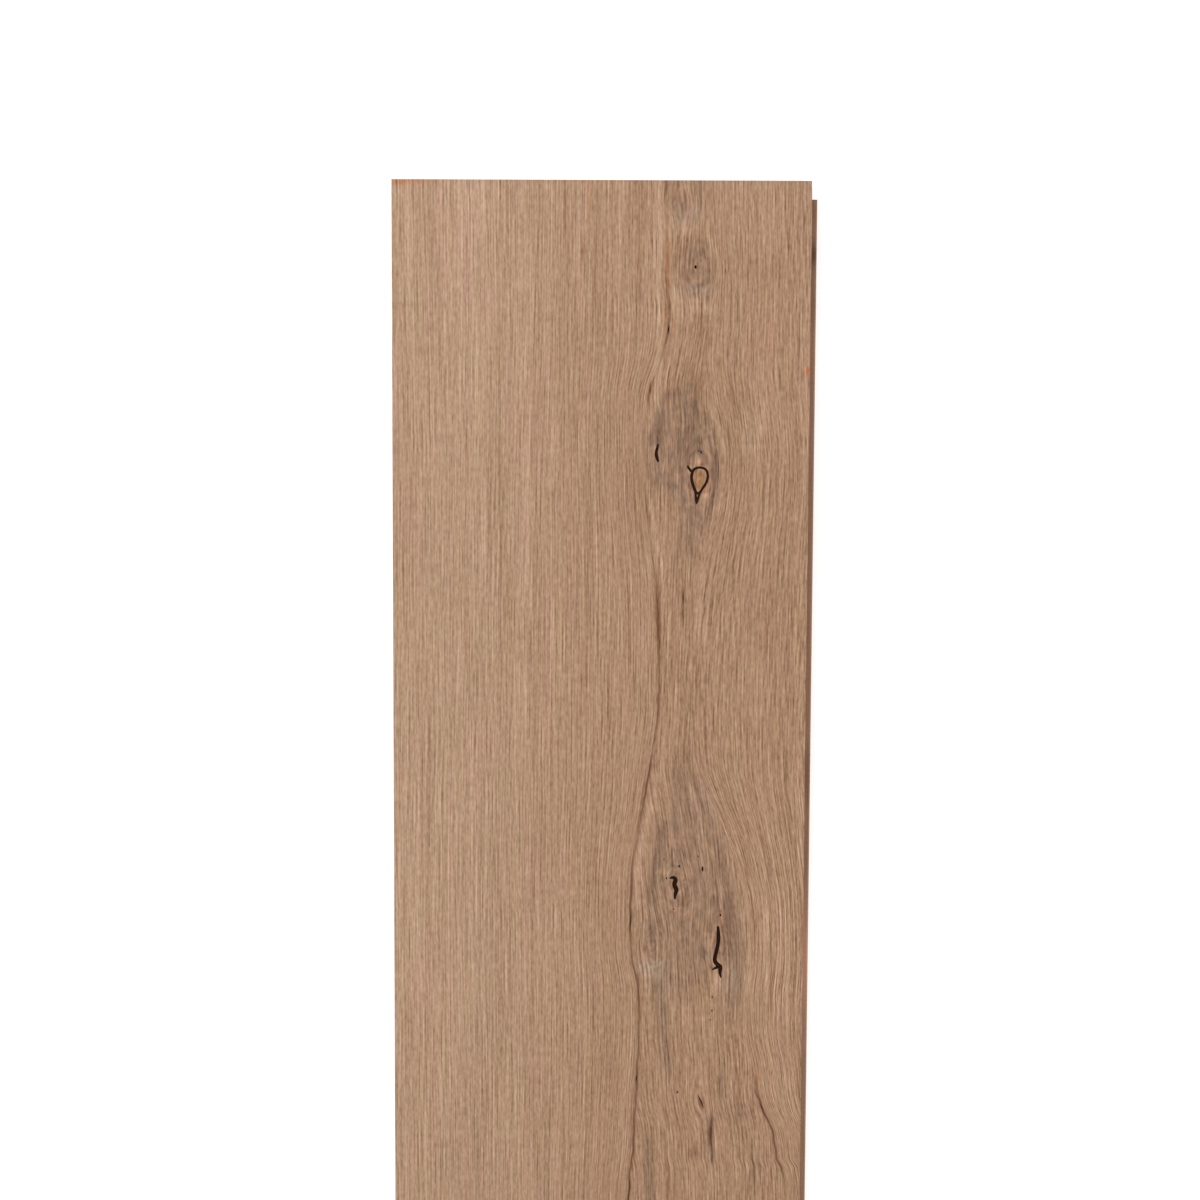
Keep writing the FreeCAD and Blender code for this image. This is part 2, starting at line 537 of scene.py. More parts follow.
class FaceMarks:
    """The marks and cracks of the face, each where the board shows it."""

    # The darker wood round the knots. Each almond's half length is its reach up from its widest place.
    EYES = (
        Eye(42.0, 38.0, 11.0, 15.0, 0.30, Stain.GREY, 15.0),
        Eye(38.5, 124.0, 17.5, 38.0, 0.44, Stain.GREY, 28.0),
        Eye(43.0, 146.0, 8.0, 20.0, 0.26, Stain.GREY, 34.0),
        Eye(42.5, 345.0, 24.5, 88.0, 0.34, Stain.GREY, 35.0),
        Eye(58.0, 522.0, 15.0, 34.0, 0.42, Stain.GREY, 46.0),
        Eye(36.0, 1182.0, 13.0, 30.0, 0.42, Stain.GREY, 44.0),
        Eye(-38.0, 1585.0, 10.0, 26.0, 0.38, Stain.GREY, 36.0),
    )
    PATCHES = (
        # The grey figure beside the grooved end and the pin knot below it.
        Mark(33.0, 4.0, 3.0, 5.0, 0.30, Stain.GREY),
        Mark(35.0, 10.5, 4.0, 3.0, 0.50, Stain.GREY),
        Mark(43.6, 6.0, 2.4, 6.0, 0.55, Stain.GREY),
        Mark(37.0, 47.0, 2.6, 2.6, 0.40, Stain.GREY),
        Mark(36.0, 22.5, 4.8, 3.4, 0.76, Stain.PALE),
        Mark(47.0, 25.0, 3.5, 6.0, 0.22, Stain.BROWN),
        Mark(46.0, 67.0, 5.0, 4.5, 0.30, Stain.BROWN),
        Mark(35.5, 34.0, 4.0, 7.0, 0.30, Stain.BROWN),
        Mark(42.0, 35.4, 1.7, 1.3, 0.45, Stain.GREY),
        Mark(44.6, 33.4, 2.4, 1.0, 0.60, Stain.GREY),
        Mark(47.6, 34.2, 1.5, 1.4, 0.40, Stain.GREY),
        Mark(48.6, 39.0, 1.0, 4.0, 0.30, Stain.GREY),
        Mark(43.5, 45.4, 6.0, 1.7, 0.50, Stain.GREY),
        Mark(43.5, 51.6, 5.0, 1.2, 0.45, Stain.GREY),
        Mark(45.0, 56.0, 7.0, 3.8, 0.72, Stain.PALE),
        # The upper eye.
        Mark(44.0, 90.0, 4.0, 7.0, 0.72, Stain.BROWN),
        Mark(61.0, 100.0, 4.0, 6.0, 0.30, Stain.BROWN),
        Mark(35.0, 96.0, 6.0, 2.6, 0.50, Stain.BROWN),
        Mark(26.0, 112.0, 2.6, 6.0, 0.65, Stain.GREY),
        Mark(42.0, 104.0, 3.0, 7.0, 0.45, Stain.GREY),
        Mark(41.5, 114.6, 3.2, 3.2, 0.60, Stain.GREY),
        Mark(45.0, 121.0, 3.4, 4.5, 0.45, Stain.GREY),
        Mark(36.4, 122.0, 3.4, 8.0, 0.42, Stain.GREY),
        Mark(24.8, 133.5, 4.0, 3.2, 0.52, Stain.GREY),
        Mark(33.0, 137.5, 6.0, 3.6, 0.30, Stain.GREY),
        Mark(45.5, 149.5, 5.0, 3.4, 0.52, Stain.GREY),
        Mark(43.0, 156.0, 3.6, 4.0, 0.22, Stain.GREY),
        Mark(42.0, 167.0, 1.6, 6.0, 0.40, Stain.GREY),
        # The lower eye.
        Mark(38.0, 310.0, 6.0, 3.0, 0.55, Stain.GREY),
        Mark(58.0, 336.5, 1.4, 2.2, 0.60, Stain.BROWN),
        Mark(52.5, 339.5, 2.4, 3.0, 0.50, Stain.BROWN),
        Mark(33.6, 359.6, 1.2, 2.6, 0.35, Stain.GREY),
        Mark(43.0, 352.0, 4.5, 9.0, 0.22, Stain.GREY),
        Mark(57.0, 373.0, 3.0, 4.0, 0.42, Stain.GREY),
        Mark(45.6, 320.0, 4.0, 4.5, 0.30, Stain.BROWN),
        Mark(45.0, 326.0, 4.0, 6.0, 0.18, Stain.GREY),
        # Below the lower eye.
        Mark(57.8, 416.5, 2.2, 5.5, 0.65, Stain.GREY),
        Mark(66.0, 433.0, 4.0, 4.5, 0.50, Stain.GREY),
        Mark(73.0, 458.0, 3.0, 6.0, 0.50, Stain.GREY),
        Mark(82.0, 345.0, 11.0, 40.0, 0.60, Stain.PALE),
        Mark(85.0, 424.0, 7.0, 20.0, 0.60, Stain.PALE),
        Mark(86.0, 405.0, 1.6, 9.0, 0.45, Stain.GREY),
        # Past the length that is seen closely, the same kinds of marks, fewer and fainter.
        Mark(54.0, 518.0, 4.0, 8.0, 0.45, Stain.GREY),
        Mark(40.0, 560.0, 4.0, 20.0, 0.35, Stain.GREY),
        Mark(39.0, 1174.0, 3.0, 9.0, 0.45, Stain.GREY),
        # Warm patches of the clear oak.
        Mark(-60.0, 30.0, 14.0, 34.0, 0.22, Stain.ROSE),
        Mark(-34.0, 112.0, 7.0, 16.0, 0.60, Stain.ROSE),
        Mark(76.0, 73.0, 8.0, 9.0, 0.60, Stain.ROSE),
        Mark(15.0, 138.0, 7.0, 40.0, 0.20, Stain.BROWN),
        # Broad changes of tone over the clear oak.
        Mark(-92.0, 145.0, 10.0, 65.0, 0.26, Stain.BROWN),
        Mark(78.0, 198.0, 9.0, 45.0, 0.30, Stain.BROWN),
        Mark(-57.0, 12.0, 8.0, 24.0, 0.30, Stain.PALE),
        Mark(-65.0, 278.0, 18.0, 28.0, 0.22, Stain.PALE),
        Mark(-18.0, 357.0, 34.0, 40.0, 0.24, Stain.PALE),
        Mark(48.5, 284.0, 6.0, 14.0, 0.38, Stain.PALE),
        Mark(91.0, 322.0, 6.0, 30.0, 0.26, Stain.PALE),
    )
    FLECKS = (
        Mark(36.0, 16.5, 4.4, 3.4, 1.00, Stain.ASH),
        Mark(42.0, 14.0, 2.4, 5.0, 0.70, Stain.ASH),
        Mark(43.0, 48.8, 7.0, 2.4, 1.00, Stain.ASH),
        Mark(25.6, 362.6, 5.2, 4.2, 1.00, Stain.ASH),
        Mark(31.0, 360.5, 2.8, 2.4, 0.50, Stain.ASH),
        Mark(20.6, 361.0, 3.4, 3.4, 0.55, Stain.ASH),
        Mark(30.0, 375.0, 4.6, 9.0, 0.45, Stain.ASH),
        Mark(67.6, 117.0, 3.4, 11.0, 0.40, Stain.ASH),
        Mark(62.5, 368.0, 4.0, 8.0, 0.80, Stain.ASH),
        Mark(22.6, 116.5, 1.5, 3.6, 1.00, Stain.GREY),
        Mark(24.6, 344.5, 2.0, 4.4, 0.85, Stain.GREY),
        Mark(22.0, 353.0, 1.9, 3.0, 0.78, Stain.BROWN),
        Mark(60.8, 332.0, 2.0, 4.4, 0.95, Stain.GREY),
        Mark(53.0, 331.0, 2.0, 3.0, 0.85, Stain.GREY),
        Mark(25.6, 362.6, 4.8, 3.8, 0.68, Stain.PALE),
        Mark(81.3, 37.0, 0.5, 9.0, 0.45, Stain.BROWN),
        Mark(84.0, 66.0, 0.5, 4.5, 0.55, Stain.BROWN),
        Mark(66.2, 29.5, 0.5, 2.4, 0.55, Stain.RUST),
        Mark(43.4, 120.5, 3.2, 2.4, 0.46, Stain.GREY),
        Mark(48.8, 355.4, 1.2, 3.0, 1.00, Stain.GREY),
        Mark(49.2, 355.2, 0.8, 2.4, 0.30, Stain.SLATE),
        Mark(44.6, 126.8, 4.2, 1.6, 0.68, Stain.PINK),
        Mark(50.3, 133.6, 0.6, 4.2, 0.40, Stain.PINK),
        Mark(39.8, 135.4, 0.8, 4.0, 0.58, Stain.PINK),
        Mark(41.4, 141.8, 1.0, 2.8, 0.60, Stain.PINK),
        Mark(48.0, 141.4, 1.2, 2.4, 0.60, Stain.PINK),
        Mark(32.4, 325.0, 1.5, 5.0, 0.40, Stain.PINK),
        Mark(38.2, 324.0, 1.0, 4.0, 0.30, Stain.PINK),
        Mark(35.2, 333.6, 2.0, 2.2, 0.32, Stain.PINK),
        Mark(53.0, 349.0, 1.1, 6.0, 0.55, Stain.PINK),
        Mark(55.0, 370.6, 2.4, 2.4, 0.32, Stain.PINK),
        Mark(57.6, 340.0, 1.2, 1.6, 0.60, Stain.PINK),
        Mark(45.0, 135.0, 3.6, 4.8, 1.0, Stain.HONEY),
        Mark(45.6, 134.4, 1.5, 2.2, 0.18, Stain.GREY),
        Mark(44.1, 143.0, 0.9, 2.0, 0.40, Stain.UMBER),
        Mark(-86.0, 0.6, 9.5, 1.5, 0.75, Stain.AMBER),
        Mark(-91.5, 1.5, 3.0, 1.8, 0.45, Stain.AMBER),
        Mark(94.3, 85.4, 1.1, 1.3, 1.0, Stain.ORANGE),
        Mark(-16.5, 12.0, 0.55, 17.0, 0.75, Stain.RUST),
        Mark(-5.6, 8.0, 0.7, 11.0, 0.50, Stain.AMBER),
        Mark(-8.5, 32.0, 0.6, 5.0, 0.80, Stain.RUST),
        Mark(29.7, 38.0, 1.0, 16.0, 0.75, Stain.AMBER),
        Mark(29.2, 62.0, 0.9, 6.0, 0.40, Stain.AMBER),
        Mark(32.2, 65.0, 0.9, 4.0, 0.50, Stain.AMBER),
        Mark(74.4, 414.5, 0.8, 5.5, 0.70, Stain.AMBER),
        Mark(15.4, 321.0, 0.9, 8.0, 0.50, Stain.RUST),
        Mark(16.2, 455.0, 0.9, 4.0, 0.60, Stain.AMBER),
        Mark(38.1, 189.0, 0.48, 3.4, 1.0, Stain.UMBER),
        Mark(38.1, 189.0, 0.36, 2.6, 0.8, Stain.SLATE),
        Mark(37.9, 196.6, 0.45, 3.0, 0.85, Stain.UMBER),
        Mark(49.5, 4.5, 0.5, 2.6, 0.60, Stain.BROWN),
        Mark(36.2, 11.6, 0.6, 2.0, 0.55, Stain.SLATE),
        Mark(33.2, 8.2, 0.6, 1.6, 0.60, Stain.BROWN),
        Mark(52.5, 441.6, 1.6, 5.2, 0.70, Stain.BROWN),
        Mark(52.4, 441.8, 1.2, 4.8, 0.46, Stain.SLATE),
        Mark(45.4, 450.5, 3.2, 3.4, 0.70, Stain.BROWN),
        Mark(46.4, 451.6, 1.2, 1.6, 0.25, Stain.RUST),
        Mark(52.2, 133.0, 1.2, 7.0, 0.14, Stain.SLATE),
        Mark(51.0, 115.0, 2.6, 4.0, 0.80, Stain.PALE),
        Mark(22.4, 93.5, 0.45, 2.8, 0.90, Stain.UMBER),
        # A painted highlight: a thin pale line along the face's edge beside the tongue, where the arris
        # catches the light.
        Mark(94.7, 52.0, 0.50, 30.0, 0.60, Stain.PALE),
        Mark(37.2, 421.6, 0.7, 0.8, 0.65, Stain.SLATE),
        Mark(48.3, 426.3, 0.9, 2.6, 0.60, Stain.RUST),
        Mark(28.9, 4.0, 0.9, 5.0, 0.60, Stain.BROWN),
        Mark(0.0, 0.0, 60.0, 0.7, 0.35, Stain.BROWN),
    )
    STROKES = (
        # Long bands of the clear oak.
        Stroke(((0, -32.5), (60, -33.0), (120, -34.0), (250, -34.5)), 2.0, 0.30, Stain.PALE),
        Stroke(((-20, -28.0), (90, -29.8), (240, -29.5), (360, -30.5), (500, -28.0)), 0.8, 0.30, Stain.BROWN),
        Stroke(((-20, -58.0), (120, -58.3), (240, -58.0)), 1.5, 0.20, Stain.PALE),
        Stroke(((-20, -64.0), (140, -64.0)), 1.5, 0.18, Stain.PALE),
        Stroke(((-20, -44.5), (120, -46.0), (500, -46.0)), 1.3, 0.15, Stain.BROWN),
        Stroke(((230, -39.0), (350, -38.0), (500, -40.0)), 1.6, 0.20, Stain.PALE),
        Stroke(((-20, -77.0), (90, -77.0)), 2.0, 0.12, Stain.BROWN),
        Stroke(((-20, -19.0), (60, -20.0), (120, -21.5), (250, -22.0)), 1.2, 0.24, Stain.PALE),
        Stroke(((105, -2.2), (245, -1.6)), 1.2, 0.26, Stain.PALE),
        Stroke(((105, -5.6), (245, -5.0)), 1.0, 0.24, Stain.BROWN),
        Stroke(((-20, 9.2), (80, 7.2)), 1.3, 0.40, Stain.PALE),
        Stroke(((-20, 17.8), (40, 16.4), (75, 16.0)), 1.0, 0.34, Stain.BROWN),
        Stroke(((-20, 26.4), (30, 26.0), (60, 25.4), (84, 23.6)), 2.2, 0.62, Stain.PALE),
        Stroke(((350, 12.6), (500, 11.4)), 1.4, 0.32, Stain.PALE),
        # Beside the pin knot.
        Stroke(((20, 32.0), (35, 32.8), (52, 32.0)), 0.9, 0.18, Stain.BROWN),
        Stroke(((-6, 44.2), (6, 44.6), (14, 44.4)), 0.7, 0.55, Stain.BROWN),
        # The upper eye.
        Stroke(((82, 29.0), (92, 26.0), (100, 23.6), (110, 21.8), (124, 20.9)), 1.2, 0.42, Stain.PALE),
        Stroke(((92, 32.0), (99, 28.8), (106, 27.4), (113, 26.3), (121, 24.3)), 1.8, 0.60, Stain.GREY),
        Stroke(((96, 47.6), (106, 51.2), (114, 54.6), (126, 57.6)), 1.4, 0.60, Stain.PALE),
        Stroke(((98, 66.6), (112, 65.4), (128, 63.8)), 1.0, 0.60, Stain.PALE),
        Stroke(((96, 75.2), (108, 73.5), (122, 71.2)), 1.3, 0.60, Stain.PALE),
        Stroke(((120, 52.4), (127, 52.7), (134, 52.4), (142, 51.6), (152, 49.2)), 1.6, 1.0, Stain.GREY),
        Stroke(((108, 36.8), (118, 35.6), (128, 36.0), (138, 38.6)), 0.7, 0.50, Stain.GREY),
        Stroke(((106, 41.0), (116, 42.4), (127, 40.8)), 0.8, 0.55, Stain.GREY),
        Stroke(((141, 22.4), (154, 24.0), (164, 25.7), (174, 28.2), (182, 30.0)), 0.9, 0.95, Stain.PALE),
        Stroke(((155, 49.4), (168, 47.6), (180, 46.6), (192, 45.8), (210, 44.4)), 1.3, 0.60, Stain.PALE),
        Stroke(((153, 37.8), (164, 36.0), (172, 35.2), (183, 35.0)), 1.4, 0.50, Stain.GREY),
        Stroke(((176, 26.0), (188, 26.6), (200, 26.8), (214, 27.2)), 1.3, 0.60, Stain.RUST),
        # The lower eye.
        Stroke(((262, 28.8), (276, 26.2), (286, 24.4), (296, 21.6), (306, 19.4), (316, 18.1), (326, 17.6),
                (336, 18.2), (346, 19.6)), 1.5, 0.80, Stain.PALE),
        Stroke(((290, 30.4), (300, 28.4), (308, 27.0), (316, 25.6), (324, 24.6), (334, 24.4)),
               2.0, 0.80, Stain.GREY),
        Stroke(((262, 36.2), (274, 35.8), (284, 35.4), (300, 34.2)), 2.4, 0.34, Stain.GREY),
        Stroke(((257, 38.0), (264, 40.4), (272, 42.6), (280, 45.4), (290, 49.0)), 0.7, 0.55, Stain.BROWN),
        Stroke(((257, 37.0), (264, 35.2), (274, 33.8)), 0.7, 0.50, Stain.BROWN),
        Stroke(((252, 41.0), (266, 44.4), (275, 47.4), (286, 51.0), (296, 54.6), (306, 58.4), (316, 61.8),
                (326, 64.4), (342, 66.2)), 1.0, 0.55, Stain.PALE),
        Stroke(((266, 43.0), (284, 48.6), (296, 52.4), (306, 55.2), (316, 57.4), (326, 59.2), (338, 60.8)),
               2.2, 0.30, Stain.GREY),
        Stroke(((282, 58.0), (300, 63.0), (312, 66.4), (324, 69.0), (338, 70.6), (362, 71.4)),
               0.8, 0.45, Stain.PALE),
        Stroke(((284, 60.2), (302, 65.2), (314, 68.0), (326, 70.2), (340, 71.8), (364, 72.6)),
               0.8, 0.45, Stain.BROWN),
        Stroke(((276, 66.0), (298, 71.6), (312, 75.0), (326, 77.0), (344, 77.8), (400, 78.4)),
               0.9, 0.50, Stain.PALE),
        Stroke(((278, 68.6), (300, 74.4), (314, 77.2), (328, 79.2), (346, 80.0), (400, 80.4)),
               0.8, 0.40, Stain.BROWN),
        Stroke(((360, 21.2), (372, 22.8), (384, 23.0), (402, 22.5)), 0.9, 0.70, Stain.PALE),
        Stroke(((358, 28.0), (374, 28.5), (386, 29.2), (400, 31.0), (418, 32.6)), 3.2, 0.72, Stain.GREY),
        Stroke(((334, 58.6), (346, 59.6), (362, 59.4)), 2.0, 0.48, Stain.GREY),
        Stroke(((332, 63.2), (348, 64.2), (362, 64.6), (374, 63.0), (390, 60.0)), 3.0, 0.60, Stain.GREY),
        # Below the lower eye.
        Stroke(((388, 62.0), (402, 63.6), (412, 65.0), (420, 65.9), (428, 66.0)), 0.6, 0.60, Stain.BROWN),
        Stroke(((429, 53.6), (436, 53.2), (444, 52.9), (450, 53.4), (459, 53.7)), 0.70, 0.90, Stain.SLATE),
        Stroke(((434, 22.8), (452, 23.6), (464, 24.5), (490, 24.0)), 2.2, 0.65, Stain.GREY),
    )
    CRACKS = (
        # The short curved crack and the egg-shaped knot edge, with its tail and barb.
        Crack(((26.1, 118.9, 0.39), (25.9, 120.4, 0.65), (25.2, 122.9, 0.72), (25.7, 125.6, 0.78),
               (26.4, 127.1, 0.39))),
        Crack(((45.3, 129.3, 0.53), (42.2, 130.3, 0.60), (41.2, 134.2, 0.68), (42.5, 138.6, 0.72),
               (44.3, 142.2, 0.57), (46.4, 139.6, 0.55), (49.2, 135.0, 0.59), (48.6, 130.4, 0.57)), True),
        Crack(((43.1, 139.8, 0.39), (43.5, 142.6, 0.54), (43.8, 145.0, 0.70), (43.9, 146.2, 0.33))),
        Crack(((45.7, 140.3, 0.39), (44.9, 142.6, 0.54), (44.1, 145.4, 0.50))),
        Crack(((39.7, 128.7, 0.45), (39.9, 129.9, 0.66), (41.9, 131.7, 0.55))),
        # The two open cracks of the lower eye, with their barbs.
        Crack(((32.9, 320.1, 0.33), (34.2, 319.3, 0.78), (35.9, 320.6, 1.04), (34.7, 323.0, 1.04),
               (36.3, 325.4, 1.1), (35.3, 327.8, 0.78), (35.4, 329.9, 0.39))),
        Crack(((55.4, 342.6, 0.52), (55.7, 345.5, 0.98), (55.7, 350.5, 0.91), (54.7, 355.0, 0.91),
               (53.7, 359.0, 0.98), (55.6, 360.9, 1.04), (57.0, 362.0, 1.04), (56.3, 364.4, 0.78),
               (57.1, 367.0, 0.33))),
        Crack(((52.9, 363.2, 0.33), (54.4, 362.3, 0.65), (56.0, 361.6, 0.78))),
        # The slanting crack below it.
        Crack(((46.9, 423.2, 0.15), (47.9, 425.4, 0.30), (48.9, 427.2, 0.30), (49.4, 429.2, 0.15))),
        # Small ones in the plain length.
        Crack(((57.2, 517.0, 0.33), (58.4, 520.5, 0.65), (58.0, 525.0, 0.33))),
        Crack(((36.4, 1176.0, 0.33), (35.4, 1181.0, 0.72), (36.2, 1187.0, 0.33))),
    )
    # Pinholes: across, along, half width and half length.
    PINHOLES = (
        (42.6, 38.8, 0.55, 0.85), (37.2, 314.3, 0.4, 0.7), (48.0, 315.5, 0.45, 1.3),
        (31.4, 320.0, 0.35, 0.4), (30.2, 311.2, 0.25, 0.35), (46.0, 309.6, 0.3, 0.35),
        (56.5, 337.3, 0.45, 0.65), (39.6, 320.8, 0.3, 0.3), (34.9, 334.6, 0.3, 0.4),
        (53.0, 376.2, 0.3, 0.6), (53.0, 382.6, 0.3, 0.8), (52.2, 387.0, 0.3, 0.4),
        (37.2, 421.6, 0.35, 0.4), (45.8, 122.6, 0.32, 0.8), (44.7, 122.0, 0.22, 0.55),
        (-37.6, 1583.0, 0.5, 1.1),
    )
    # The edge tongue, darker along some stretches of its length and paler along one.
    TONGUE = (
        Mark(96.5, 14.0, 3.0, 5.0, 0.25, Stain.BROWN),
        Mark(96.5, 33.0, 3.0, 5.5, 0.80, Stain.UMBER),
        Mark(96.5, 54.0, 3.0, 10.0, 0.35, Stain.BROWN),
        Mark(96.5, 150.0, 3.0, 26.0, 0.20, Stain.BROWN),
        Mark(96.5, 272.0, 3.0, 13.0, 0.75, Stain.BROWN),
        Mark(96.5, 310.0, 3.0, 10.0, 0.30, Stain.BROWN),
        Mark(96.5, 360.0, 3.0, 26.0, 0.80, Stain.PINK),
    )
    # Stretches of the two long checks that stand open: where they start and end, and their half width.
    LEFT_OPEN = ((65, 69, 0.34), (336, 344, 0.24), (413.5, 416.5, 0.24), (464, 476, 0.22))
    RIGHT_OPEN = ((427, 432, 0.16),)


class OakGrain:
    """The oak's own figure, the same all through the board: growth rings, streaks and pores."""

    PITH_ACROSS = 40.0
    PITH_HEIGHT = -20.0

    def __init__(self, graph: Graph) -> None:
        """Read the place on the board, in millimetres.

        Args:
            graph: The material's nodes.
        """
        self.graph = graph
        place = graph.add("ShaderNodeTexCoord", None, None, "Object")
        self.place = graph.vector("DIVIDE", place, (MM, MM, MM))
        self.across, self.lengthwise, self.height = graph.split(self.place)
        self.flow = self.across
        self.space = "3D"
        self.heart: tuple[Value, ...] = ()

    def bend(self, flow: Value) -> None:
        """Run the figure of a flat face along a bent flow.

        Args:
            flow: For each place, the place across where its line of grain started.
        """
        self.flow = flow
        self.place = self.graph.combined(flow, self.lengthwise)
        self.space = "2D"

    def rings(self, streak: Streak) -> Value:
        """Return the growth rings round the pith, as bands about zero.

        Args:
            streak: The rings' width, the length over which they change, and their strength.

        Returns:
            The bands.
        """
        aside = self.flow - self.PITH_ACROSS
        above = self.height - self.PITH_HEIGHT
        radius = (aside * aside + above * above).root()
        return self.graph.streaks(self.graph.combined(radius, self.lengthwise), streak)

    def streaks(self, streak: Streak) -> Value:
        """Return one kind of streak, about zero."""
        return self.graph.streaks(self.place, streak, self.space)

    def lines(self, lines: Lines, jitter: Value) -> Value:
        """Return lines along the grain between -1 and 1, which a jitter upsets."""
        return ((self.flow / lines.spacing + jitter * lines.stray) * math.tau).sine()


@dataclass(frozen=True)
class OakFinish:
    """Oak as one kind of tool left it."""

    name: str
    shades: tuple[Colour, ...]
    contrast: float = 1.0
    roughness: float = 0.66
    roughness_change: float = 0.5
    specular: float = 0.3
    bump_height: float = 0.00006
    bump_strength: float = 0.6
    mark_pitch: float = 0.0
    mark_depth: float = 0.0
    end: float = 950.0
    marks: tuple[Mark, ...] = ()

    FINE: ClassVar[Streak] = Streak(0.9, 13.0, 0.032, 0.0, 1.0)
    BROAD: ClassVar[Streak] = Streak(3.2, 70.0, 0.020, 11.0)
    RINGS: ClassVar[Streak] = Streak(1.6, 240.0, 0.040, 3.0, 1.0)
    PORES: ClassVar[Streak] = Streak(0.8, 9.0, 1.0, 15.0)
    SWAY: ClassVar[Streak] = Streak(40.0, 25.0, 1.0, 21.0)
    SLOW: ClassVar[Streak] = Streak(50.0, 160.0, 0.03, 31.0)

    def material(self) -> bpy.types.Material:
        """Build the finish's material.

        Returns:
            The material, from the oak's figure, the tool's marks and the finish's own stains.
        """
        graph = Graph(self.name)
        oak = OakGrain(graph)
        self.follow(oak)
        figure = self.figure(oak)
        marks = self.tool_marks(oak)
        tone = 0.5 + (figure + marks) * self.contrast + self.shading(oak)
        stops = [(at / (len(self.shades) - 1), shade) for at, shade in enumerate(self.shades)]
        colour = graph.add("ShaderNodeValToRGB", {"stops": stops}, {0: tone})
        colour = self.stained(oak, colour)
        bump = {"Strength": self.bump_strength, "Distance": self.bump_height, "Height": self.texture(graph)}
        sockets = {
            "Base Color": colour,
            "Roughness": self.roughness - figure * self.roughness_change,
            "Specular IOR Level": self.specular,
            "Normal": graph.add("ShaderNodeBump", None, bump),
        }
        return graph.surface(graph.add("ShaderNodeBsdfPrincipled", None, sockets))

    def follow(self, oak: OakGrain) -> None:
        """Let the figure run straight."""

    def figure(self, oak: OakGrain) -> Value:
        """Return the light and dark of the oak's figure about zero."""
        return oak.streaks(self.FINE) + oak.streaks(self.BROAD) + oak.rings(self.RINGS)

    def texture(self, graph: Graph) -> Value:
        """Return the height of the open pores, about zero."""
        return OakGrain(graph).streaks(self.PORES)

    def tool_marks(self, oak: OakGrain) -> Operand:
        """Return the ripples that a turning cutter leaves across the travel, about zero."""
        travel = oak.lengthwise + oak.streaks(self.SWAY)
        return (travel * (math.tau / self.mark_pitch)).sine() * self.mark_depth

    def shading(self, oak: OakGrain) -> Value:
        """Return slow changes of tone about zero."""
        return oak.streaks(self.SLOW)

    def stained(self, oak: OakGrain, colour: Value) -> Value:
        """Put the finish's own stains on it.

        Args:
            oak: The oak's figure.
            colour: The colour without stains.

        Returns:
            The colour with them.
        """
        graph = oak.graph
        place = graph.combined(oak.across, self.end - oak.lengthwise)
        for mark in self.marks:
            mask = self.oval(graph, place, mark) * mark.strength
            colour = graph.tint(colour, mark.stain.value, mask)
        return colour

    @staticmethod
    def squared(graph: Graph, place: Value, mark: Oval) -> Value:
        """Measure how far a place is from the middle of an oval.

        Args:
            graph: The material's nodes.
            place: The place across and along.
            mark: The oval.

        Returns:
            The squared distance, which is 1 on the oval.
        """
        shrink = (1 / mark.half_width, 1 / mark.half_length, 0.0)
        shift = (-mark.across / mark.half_width, -mark.along / mark.half_length, 0.0)
        local = graph.vector("MULTIPLY_ADD", place, shrink, shift)
        return graph.vector("DOT_PRODUCT", local, local, output="Value")

    def oval(self, graph: Graph, place: Value, mark: Oval) -> Value:
        """Return 1 in the middle of an oval, falling away over its half width and half length."""
        return math.exp(-1) ** self.squared(graph, place, mark)


